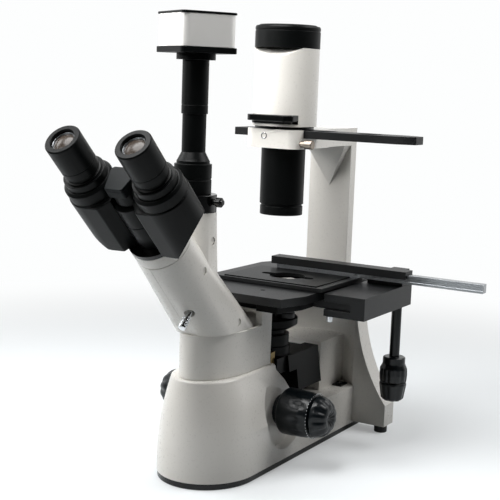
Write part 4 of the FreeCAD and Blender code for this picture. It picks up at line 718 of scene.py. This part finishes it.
# Ocular arm: a round housing on the eyepiece axis with a cheek to the hub, cut away outside and below along
# a line that climbs by the wedge's slope. Each hub takes one half of the hinge's height
def ocularArm(part, side):
    e, low, top, r, hubR, hubTop = (part[key] for key in ("eye", "low", "top", "sleeveR", "hubR", "hubTop"))
    name, body, node = (("ocularArmRight", "right_ocular", "ocular_arm_right") if side > 0 else
                        ("ocularArmLeft", "left_ocular", "ocular_arm_left"))
    angle = np.linspace(0, fullTurn, 160, endpoint=False)
    plan = np.stack([e + part["r"] * np.cos(angle), part["r"] * np.sin(angle)], -1)
    arm = addObject(name, meshFrom(name, [surface(slab(plan, low, top, 0.8, 1.6, 5))]))
    plan = softCorners(list(cheekPlan), list(cheekPlan.values()), 5, closed=True)
    combine(arm, [surface(slab(plan, low + 0.02, top - 1.2, 0.2, 1.2))], "UNION")
    x0, x1 = part["wedgeX"], part["wedgeX"] + part["reach"]
    rise = part["reach"] * part["wedgeSlope"]
    section = [(x0, low - 2), (x1, low - 2), (x1, low + rise), (x0, low)]
    under = prism(section, -part["reach"], part["reach"])[..., [1, 0, 2]]
    room = spin([(hubR + 0.1, low - 4), (hubR + 0.1, hubTop + 0.1)], 120)
    neck = spin([(part["neckR"], hubTop - 1), (part["neckR"], top + 4)], 96)
    bore = spin([(part["bore"], part["boreFrom"]), (part["bore"], top + 4)], 96) + np.array([e, 0, 0])
    combine(arm, [surface(under), surface(room), surface(neck), surface(bore)], "DIFFERENCE")
    spots = np.empty(len(arm.data.vertices) * 3, np.float32)
    arm.data.vertices.foreach_get("co", spots)
    spots = spots.reshape(-1, 3) / mm
    spots[:, 0] *= side
    arm.data.vertices.foreach_set("co", (inclined()(spots) * mm).astype(np.float32).ravel())
    clean(arm, 0.1, 0.2)
    finishPiece(arm, body, satinBlack, "black_plastic", (node,), edge=part["edge"], sharp=38, steps=4)
    ends = (low, part["split"] - part["gap"]) if side > 0 else (part["split"] + part["gap"], hubTop)
    turnedRing(name + "Hub", ringSection(part["hubBore"], hubR, *ends), body, satinBlack, "black_plastic", (),
               inclined(), 0.6)
    seat, end = part["seat"], part["sleeveTop"]
    sleeve = [(part["bore"], top - 9), (part["bore"], end), (part["seatR"], end), (part["seatR"], seat),
              (r, seat), (r, top - 0.2), (r + 3, top - 0.2), (r + 3, top - 9)]
    turnedRing(name + "Sleeve", sleeve, body, satinBlack, "black_plastic", (), inclined(side * e), 0.5)
    if side < 0:
        collar = [(r + 0.1, top + 0.1), (part["collarR"], top + 0.1), (part["collarR"], seat - 2.4),
                  (part["collarR"] - 2.2, seat - 0.1), (r + 0.1, seat - 0.1)]
        turnedRing(name + "Collar", collar, body, satinBlack, "black_plastic", (), inclined(side * e), 0.5)


for side in (-1, 1):
    ocularArm(armPart, side)


# Dioptre ring: small finger notches round its lower two thirds, and a sloped shoulder for the marks
def dioptreRing(part):
    r, low, high, inner = part["collarR"], part["top"] + 0.4, part["seat"] - 0.4, part["sleeveR"] + 0.1
    profile = [(inner, low), (r, low), (r, high - 2.3), (r - 2.2, high), (inner, high)]
    dent = knurl(part["notches"], part["notch"], low + 1.2, high - 3.6, 0.2)
    ring = spin(softCorners(profile, 0.5, closed=True), 360, dent)
    makePiece("dioptreRing", [surface(ring, False, looped=True)], "diopter", satinBlack, "black_plastic",
              ("diopter_ring_right",), inclined(part["eye"]))


dioptreRing(armPart)

eyePart = {"x": 37.0, "r": 16.5, "seat": 14.9, "seatLow": 368.0, "low": 404.1, "top": 445.0, "glassR": 10.4,
           "glass": 440.6, "neckR": 15.3, "bore": 12.0, "dome": 2.2}


# Eyepiece: a turned shell with a soft domed lens, whose height falls with the square of the radius
def eyepiece(part, side):
    r, z0, z1, hole, seat = part["r"], part["low"], part["top"], part["glassR"] + 0.5, part["seat"]
    neckR, bore, glass = part["neckR"], part["bore"], part["glass"]
    shell = {(bore, part["seatLow"]): 0.3, (seat, part["seatLow"]): 0.3, (seat, z0): 0.3, (r + 0.5, z0): 0.3,
             (r + 0.5, z0 + 1): 0.3, (neckR, z0 + 1.6): 0.4, (neckR, z0 + 4.3): 0.4, (r, z0 + 4.9): 0.5,
             (r, z0 + 12): 0.2, (r - 0.35, z0 + 12.3): 0.2, (r - 0.35, z0 + 12.9): 0.2, (r, z0 + 13.2): 0.2,
             (r, z1 - 1): 1.0, (r - 1, z1): 0.6, (hole + 0.6, z1): 0.5, (hole - 0.2, z1 - 1.4): 0.5,
             (hole - 0.4, z1 - 12): 0.5, (bore, z1 - 14): 0.5}
    name, body, node = (("eyepieceRight", "right_eyepiece", "eyepiece_right") if side > 0 else
                        ("eyepieceLeft", "left_eyepiece", "eyepiece_left"))
    place = inclined(side * part["x"])
    grid = spin(softCorners(list(shell), list(shell.values()), closed=True), 160)
    makePiece(name, [surface(grid, False, looped=True)], body, satinBlack, "black_plastic", (node,), place)
    w = np.linspace(0, 1, 14)
    edge = part["glassR"] - 0.9
    dome = np.stack([edge * w, glass + part["dome"] * (1 - w ** 2)], -1)
    lens = np.concatenate([dome, [(edge, glass - 2), (0, glass - 2)]])
    makePiece(name + "Lens", [surface(spin(lens, 96), False)], body, eyeGlass, "lens_glass", (), place)
    rim = [(edge, glass - 1), (edge, glass + 0.4), (hole - 0.5, glass + 1.6), (hole - 0.5, glass - 1)]
    turnedRing(name + "LensRing", rim, body, groundSteel, "chrome", (), place, 0.2)


for side in (-1, 1):
    eyepiece(eyePart, side)
print("binocular head made")


# Camera port, its tube and the camera

portPart = {"y": -171.2, "r": 23.5, "low": 267.5, "top": 284.0, "bore": 16.6, "screwDrop": 6.0, "teeth": 24,
            "tooth": 0.3, "tubeBore": 9.0, "tubeR": 16.3}


def cameraPort(part):
    y, r, low, top, inner = part["y"], part["r"], part["low"], part["top"], part["tubeBore"]
    turnedRing("portClampRing", ringSection(part["bore"], r - 0.2, low + 0.1, top), "stand", glossBlack,
               "black_anodised", ("port_clamp_ring",), standing(0, y), 0.8)
    head = softCorners([(0, 16.9), (1.6, 16.9), (1.6, r + 0.6), (3, r + 0.6), (3, r + 4), (4.6, r + 4.2),
                        (4.6, r + 9), (2.6, r + 9.4), (2.6, r + 11), (0, r + 11)], 0.3)
    screw = spin(head, 96, knurl(part["teeth"], part["tooth"], r + 4.8, r + 8.4))
    makePiece("portThumbscrew", [surface(sideways(y, top - part["screwDrop"])(screw), False)], "port_screw",
              glossBlack, "chrome", ("port_thumbscrew",))
    tube = [(inner, low + 0.5), (part["tubeR"], low + 0.5), (part["tubeR"], top + 0.3), (17.7, top + 0.3),
            (17.7, 297), (17.2, 297.3), (17.2, 298.7), (17.7, 299), (17.7, 312), (15.6, 312.2), (15.6, 314.8),
            (14.8, 316), (11.2, 323), (11.2, 358), (12.4, 358.4), (12.4, 366), (12.2, 366.2), (12.2, 366.8),
            (12.4, 367), (12.4, 407.5), (18.2, 407.6), (18.2, 413.4), (inner, 413.4)]
    turnedRing("photoTube", tube, "camera_unit", satinBlack, "black_anodised", ("photo_tube",),
               standing(0, y), 0.3)


cameraPort(portPart)

cameraPart = {"side": 57.0, "turn": -29.8, "low": 413.5, "baseTop": 419.0, "topLow": 448.3, "top": 450.5,
              "corner": 4.5, "caseCorner": 8.5, "inset": 0.6}


def cameraBox(part):
    turn, half = math.radians(part["turn"]), part["side"] / 2
    across, along = math.cos(turn), math.sin(turn)
    turnedPlan = np.array([[across, along, 0], [-along, across, 0], [0, 0, 1]])

    def place(p):
        return p @ turnedPlan + np.array([0, portPart["y"], 0])
    base = slab(roundBox(half, half, part["corner"]), part["low"], part["baseTop"] - 0.1, 0.6, 0.4)
    lidPlan = roundBox(half - 0.2, half - 0.2, part["corner"] + 1)
    lid = slab(lidPlan, part["topLow"] + 0.1, part["top"], 0.3, 0.8)
    makePiece("cameraEnds", [surface(base), surface(lid)], "camera_unit", satinBlack, "black_plastic",
              ("camera_ends",), place)
    inner = half - part["inset"]
    casePlan = roundBox(inner, inner, part["caseCorner"], steps=14)
    case = slab(casePlan, part["baseTop"], part["topLow"], 0.3, 0.3)
    makePiece("cameraBody", [surface(case)], "camera_unit", silverCase, "silver_case", ("camera_body",),
              place)


cameraBox(cameraPart)
print("camera made")


# Lamp, its arm and the condenser

lampPart = {"r": 34.0, "low": 344.5, "top": 425.0, "capTop": 449.0, "facetDrop": 10.0, "facetY": -18.0,
            "slotLow": (-27.3, -40.0, 347.0), "slotHigh": (27.3, 22.3, 356.6), "flangeBore": 19.5,
            "flangeR": 31.3, "flangeLow": 341.6}


def lamp(part):
    r, z0, z1, z2 = part["r"], part["low"], part["top"], part["capTop"]
    skin = spin(softCorners([(0, z0), (r, z0), (r, z1), (0, z1)], [0, 0.6, 0.4, 0]), 200)
    housing = addObject("lampHousing", meshFrom("lampHousing", [surface(skin)]))
    front = -r - 2
    section = [(front, z1 - part["facetDrop"]), (part["facetY"], z1), (part["facetY"], z1 + 5),
               (front, z1 + 5)]
    facet = prism(section, -r - 11, r + 11)
    slot = box(part["slotLow"], part["slotHigh"])
    combine(housing, [surface(facet), surface(slot)], "DIFFERENCE")
    clean(housing, 0.1, 0.2)
    finishPiece(housing, "stand", enamel, "white_enamel", ("lamp_housing",), edge=0.6, sharp=38)
    c = r + 0.2
    cap = [(0, z1 + 0.1), (c, z1 + 0.1), (c, z2 - 6.7), (c - 0.6, z2 - 6.5), (c - 0.6, z2 - 5.7),
           (c, z2 - 5.5), (c, z2 - 3), (c - 1, z2 - 1.2), (c - 3.5, z2 - 1), (c - 4.5, z2), (0, z2)]
    turnedRing("lampCap", cap, "stand", satinBlack, "black_plastic", ("lamp_cap",), standing(), 0.5, False)
    flange = ringSection(part["flangeBore"], part["flangeR"], part["flangeLow"], z0 - 0.1)
    turnedRing("lampFlange", flange, "stand", glossBlack, "black_anodised", ("lamp_flange",), standing(), 0.5)


lamp(lampPart)

condenserPart = {"r": 23.3, "low": 251.0, "high": 322.0, "wall": 3.0}


def condenser(part):
    r, z, top, seat = part["r"], part["low"], part["high"], part["r"] - part["wall"]
    tube = [(seat - 3, z), (r - 0.6, z), (r - 0.6, z + 9), (r - 1.6, z + 9.6), (r - 1.6, z + 11),
            (r, z + 11.6), (r, top), (seat, top), (seat, z + 14), (seat - 3, z + 14)]
    turnedRing("condenserTube", tube, "stand", satinBlack, "black_anodised", ("condenser_tube",), standing(),
               0.5)


condenser(condenserPart)


fittingPart = {"knobY": -21.0, "knobZ": 327.5, "knobEnd": 46.0, "screwX": -7.0, "screwZ": 334.6,
               "screwR": 3.4}


def lampFittings(part):
    softEdges("filter_tray", "filterTray", "filter_drawer", glossBlack, "black_plastic", 0.6)
    softEdges("phase_slider", "phaseSlider", "phase_slide", anodised, "black_anodised", 0.5)
    end, r = part["knobEnd"], part["screwR"]
    knob = softCorners([(0, 24), (2, 24), (2, 32.5), (3.4, 32.5), (3.4, 37), (4.8, 37.2), (4.8, end),
                        (0, end)], [0, 0.2, 0.1, 0.3, 0.3, 0.6, 0.9, 0])
    makePiece("armKnob", [surface(sideways(part["knobY"], part["knobZ"])(spin(knob, 72)), False)],
              "slider_lock", warmNickel, "chrome", ("arm_knob",))
    front = span("illumination_arm")[0][1]
    rim = softCorners([(0, -0.2), (r - 0.8, -0.2), (r - 0.8, 0.5), (r, 0.5), (r, -1.5), (0, -1.5)], 0.2)
    ring = spin(rim, 48)
    grid = np.stack([ring[..., 0] + part["screwX"], front - ring[..., 2], ring[..., 1] + part["screwZ"]], -1)
    makePiece("armScrew", [surface(grid, False)], "stand", chrome, "chrome")


lampFittings(fittingPart)
print("lamp and condenser made")


# Stage, nosepiece and drive

def stageGroup():
    softEdges("stage_plate", "stagePlate", "stand", anodised, "black_anodised", 0.5)
    softEdges("stage_frame", "stageFrame", "stand", satinBlack, "black_anodised", 0.6)
    softEdges("y_guide", "yGuide", "stand", anodised, "black_anodised", 0.15)
    softEdges("y_carriage", "yCarriage", "y_stage", anodised, "black_anodised", 0.6)
    softEdges("x_guide_bar", "xGuideBar", "y_stage", anodised, "black_anodised", 0.5)
    softEdges("carriage_screws", "carriageScrews", "y_stage", chrome, "black_plastic", 0.5)
    softEdges("x_rail", "xRail", "x_stage", groundSteel, "steel", 0.2)
    softEdges("holder_frame", "holderFrame", "x_stage", anodised, "black_anodised", 0.4)
    softEdges("specimen_plate", "specimenPlate", "x_stage", satinBlack, "black_plastic", 0.3)
    softEdges("nosepiece_carrier", "nosepieceCarrier", "focus_block", satinBlack, "black_anodised", 0.9)
    softEdges("focus_guide", "focusGuide", "stand", groundSteel, "steel", 0.4)
    turnedRing("stageInsert", ringSection(10.5, 19.8, 178.2, 180.3), "stand", enamel, "white_enamel", (),
               standing(), 0.3)


stageGroup()

drivePart = {"x": 114.8, "y": 58.0, "split": 74.0, "tubeR": 5.4, "tubeBore": 3.1, "tubeTop": 164.4,
             "shaftR": 3.0, "shaftTop": 193.0, "upperLobes": 12, "upperDepth": 0.7, "lowerLobes": 8,
             "lowerDepth": 0.8}


# Finger lobes: depth times a squared raised cosine round the knob, fading out towards one height
def lobes(count, depth, fadeAt, fade, low, high):
    return lambda a, h: (depth * (0.5 + 0.5 * np.cos(a * count)) ** 2 * np.clip((fadeAt - h) / fade, 0, 1)
                         * ((h > low) & (h < high)))


def driveKnobs(part):
    split, tubeR, bore, shaftR = part["split"], part["tubeR"], part["tubeBore"], part["shaftR"]
    place = standing(part["x"], part["y"])
    upper = {(bore, split + 0.5): 0.2, (14.4, split + 0.5): 0.8, (15.0, split + 8): 3, (14.6, split + 15): 3,
             (12.6, split + 19): 1.2, (12.0, split + 20): 0.8, (12.0, split + 26.6): 0.8,
             (10.8, split + 27.6): 0.6, (tubeR, split + 27.6): 0.2, (tubeR, part["tubeTop"]): 0.2,
             (bore, part["tubeTop"]): 0.2}
    grid = spin(softCorners(list(upper), list(upper.values()), closed=True), 192,
                lobes(part["upperLobes"], part["upperDepth"], split + 19, 6, split + 0.6, 1000))
    makePiece("yKnob", [surface(grid, False, looped=True)], "y_drive_knob", knobPlastic, "knob_plastic",
              ("y_knob",), place)
    lower = {(0, split - 20.5): 0, (9.6, split - 20.5): 1, (12.2, split - 18): 2, (14.6, split - 3): 2,
             (14.2, split - 0.5): 0.8, (shaftR, split - 0.5): 0.2, (shaftR, part["shaftTop"]): 0.2,
             (0, part["shaftTop"]): 0}
    grid = spin(softCorners(list(lower), list(lower.values())), 192,
                lobes(part["lowerLobes"], part["lowerDepth"], split - 1, 5, -1000, split))
    makePiece("xKnob", [surface(grid, False)], "x_drive_knob", knobPlastic, "knob_plastic", ("x_knob",),
              place)


driveKnobs(drivePart)


turretPart = {"y": -22.0, "low": 132.3, "top": 145.0, "r": 33.0, "stemR": 6.0, "stemLow": 96.0,
              "circle": 22.0, "teeth": 54, "tooth": 0.4, "tops": (168.0, 165.0, 161.5, 158.0)}


def nosepiece(part):
    z0, z1, r, circle = part["low"], part["top"], part["r"], part["circle"]
    disc = [(0, z0), (r - 7, z0), (r, z0 + 4.5), (r, z1 - 1.5), (r - 1.5, z1 - 0.1), (0, z1 - 0.1)]
    grid = spin(softCorners(disc, [0, 0.8, 0.6, 0.8, 0.8, 0]), 216,
                knurl(part["teeth"], part["tooth"], z0 + 5.5, z1 - 2))
    stem = spin(ringSection(0, part["stemR"], part["stemLow"], z0 + 1), 64)
    makePiece("nosepieceTurret", [surface(grid, False), surface(stem, False)], "nosepiece", satinBlack,
              "black_anodised", ("nosepiece_turret",), standing(0, part["y"]))
    lenses = []
    for (x, y), top in zip(((0, circle), (circle, 0), (0, -circle), (-circle, 0)), part["tops"]):
        profile = [(0, z1 - 5), (8.3, z1 - 5), (8.3, z1), (10.4, z1 + 0.1), (10.4, z1 + 5), (9.8, z1 + 6),
                   (9.8, top - 5), (7, top - 2), (7, top), (4.5, top), (4, top - 1), (0, top - 1)]
        lenses.append(surface(standing(x, part["y"] + y)(spin(softCorners(profile, 0.4), 96)), False))
    makePiece("objectiveLenses", lenses, "nosepiece", anodised, "chrome", ("objectives",))


nosepiece(turretPart)
print("stage and nosepiece made")


# Nodes that stay as they are, with their own finishes
ownFinish = {"coarse_shaft": groundSteel, "focus_rack": brass, "mirror_mount": clearGlass,
             "power_board": solderMask, "camera_board": solderMask, "lamp_holder": groundSteel,
             "lamp_bulb": clearGlass, "fixed_lenses": clearGlass, "light_tube": satinBlack}
for node, material in ownFinish.items():
    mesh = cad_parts[node].data
    mesh.materials.clear()
    mesh.materials.append(material)


# Floor, light and background
def makeStudio():
    studio = {"floor": "#e4e8ea", "bounce": "#8a8c8d", "back": "#fdfefe", "front": "#1d1b19",
              "fadeFrom": 0.37, "fadeTo": 1.0, "lift": 0.25, "skyPower": 0.26, "away": (-0.511, 0.859, 0.0),
              "half": 4000.0, "under": -0.02}
    back, away = hexColour(studio["back"]), studio["away"]
    floor = slab(roundBox(studio["half"], studio["half"], 1), -3.0, studio["under"], 0.2, 0.2)
    piece = addObject("floor", meshFrom("floor", [surface(floor)]))
    material = bpy.data.materials.new("pale paper")
    material.use_nodes = True
    tree = material.node_tree
    shader = tree.nodes["Principled BSDF"]
    shader.inputs["Roughness"].default_value = 0.7
    glow = addNode(tree, "Emission", {"Color": back, "Strength": 1.0})
    place = addNode(tree, "TexCoord").outputs["Object"]
    distance = addNode(tree, "VectorMath", {0: place}, operation="LENGTH")
    fade = addNode(tree, "MapRange", {"Value": distance.outputs["Value"], "From Min": studio["fadeFrom"],
                                      "From Max": studio["fadeTo"], "To Min": studio["lift"],
                                      "To Max": 1.0}, interpolation_type="SMOOTHSTEP")
    behind = addNode(tree, "VectorMath", {0: place, 1: away}, operation="DOT_PRODUCT")
    mirrored = addNode(tree, "MapRange", {"Value": behind.outputs["Value"], "From Min": 0.0, "From Max": 0.7})
    path = addNode(tree, "LightPath").outputs
    paper = addNode(tree, "Mix", {0: path["Is Diffuse Ray"], 6: hexColour(studio["floor"]),
                                  7: hexColour(studio["bounce"])}, data_type="RGBA")
    tree.links.new(paper.outputs[2], shader.inputs["Base Color"])
    glossy = addNode(tree, "Math", {0: path["Is Glossy Ray"], 1: mirrored.outputs["Result"]},
                     operation="MULTIPLY")
    seen = addNode(tree, "Math", {0: path["Is Camera Ray"], 1: glossy.outputs["Value"]}, operation="MAXIMUM")
    share = addNode(tree, "Math", {0: fade.outputs["Result"], 1: seen.outputs["Value"]},
                    operation="MULTIPLY")
    mix = addNode(tree, "MixShader", {0: share.outputs["Value"], 1: shader.outputs["BSDF"],
                                      2: glow.outputs["Emission"]})
    tree.links.new(mix.outputs["Shader"], tree.nodes["Material Output"].inputs["Surface"])
    piece.data.materials.append(material)

    world = bpy.data.worlds.new("studio")
    bpy.context.scene.world = world
    world.use_nodes = True
    tree = world.node_tree
    tree.nodes.clear()
    path = addNode(tree, "LightPath").outputs
    way = addNode(tree, "TexCoord").outputs["Generated"]
    facing = addNode(tree, "VectorMath", {0: way, 1: away}, operation="DOT_PRODUCT")
    front = addNode(tree, "MapRange", {"Value": facing.outputs["Value"], "From Min": 0.55, "From Max": -0.25},
                    interpolation_type="SMOOTHSTEP")
    tone = addNode(tree, "Mix", {0: front.outputs["Result"], 6: back, 7: hexColour(studio["front"])},
                   data_type="RGBA")
    sky = addNode(tree, "Background", {"Color": tone.outputs[2], "Strength": studio["skyPower"]})
    shown = addNode(tree, "Background", {"Color": tone.outputs[2], "Strength": 1.0})
    plain = addNode(tree, "Background", {"Color": back, "Strength": 1.0})
    glossy = addNode(tree, "Math", {0: path["Is Glossy Ray"], 1: path["Is Transmission Ray"]},
                     operation="MAXIMUM")
    first = addNode(tree, "MixShader", {0: glossy.outputs["Value"], 1: sky.outputs["Background"],
                                        2: shown.outputs["Background"]})
    second = addNode(tree, "MixShader", {0: path["Is Camera Ray"], 1: first.outputs["Shader"],
                                         2: plain.outputs["Background"]})
    out = addNode(tree, "OutputWorld", {"Surface": second.outputs["Shader"]})
    out.is_active_output = True

    lamps = {"overhead": ((-80, -360, 870), (0, -60, 200), 560, 9.6),
             "right": ((620, 330, 930), (0, 0, 200), 620, 6.0),
             "left": ((-650, -350, 650), (0, -60, 180), 420, 3.0),
             "front": ((-600, -1120, 820), (0, -60, 240), 500, 5.4)}
    for name, (spot, aim, size, power) in lamps.items():
        data = bpy.data.lights.new(name, "AREA")
        data.shape = "DISK"
        data.size = size * mm
        data.energy = power
        light = bpy.data.objects.new(name, data)
        bpy.context.scene.collection.objects.link(light)
        back = np.array(spot, float) - np.array(aim, float)
        back = back / np.linalg.norm(back)
        side = np.cross([0.0, 1.0, 0.0] if abs(back[2]) > 0.9 else [0.0, 0.0, 1.0], back)
        side = side / np.linalg.norm(side)
        matrix = np.eye(4)
        matrix[:3, 0] = side
        matrix[:3, 1] = np.cross(back, side)
        matrix[:3, 2] = back
        matrix[:3, 3] = np.array(spot) * mm
        light.matrix_world = Matrix(matrix.tolist())


makeStudio()
bpy.context.scene.view_settings.view_transform = "Standard"
print("studio made")

print("pieces finished")
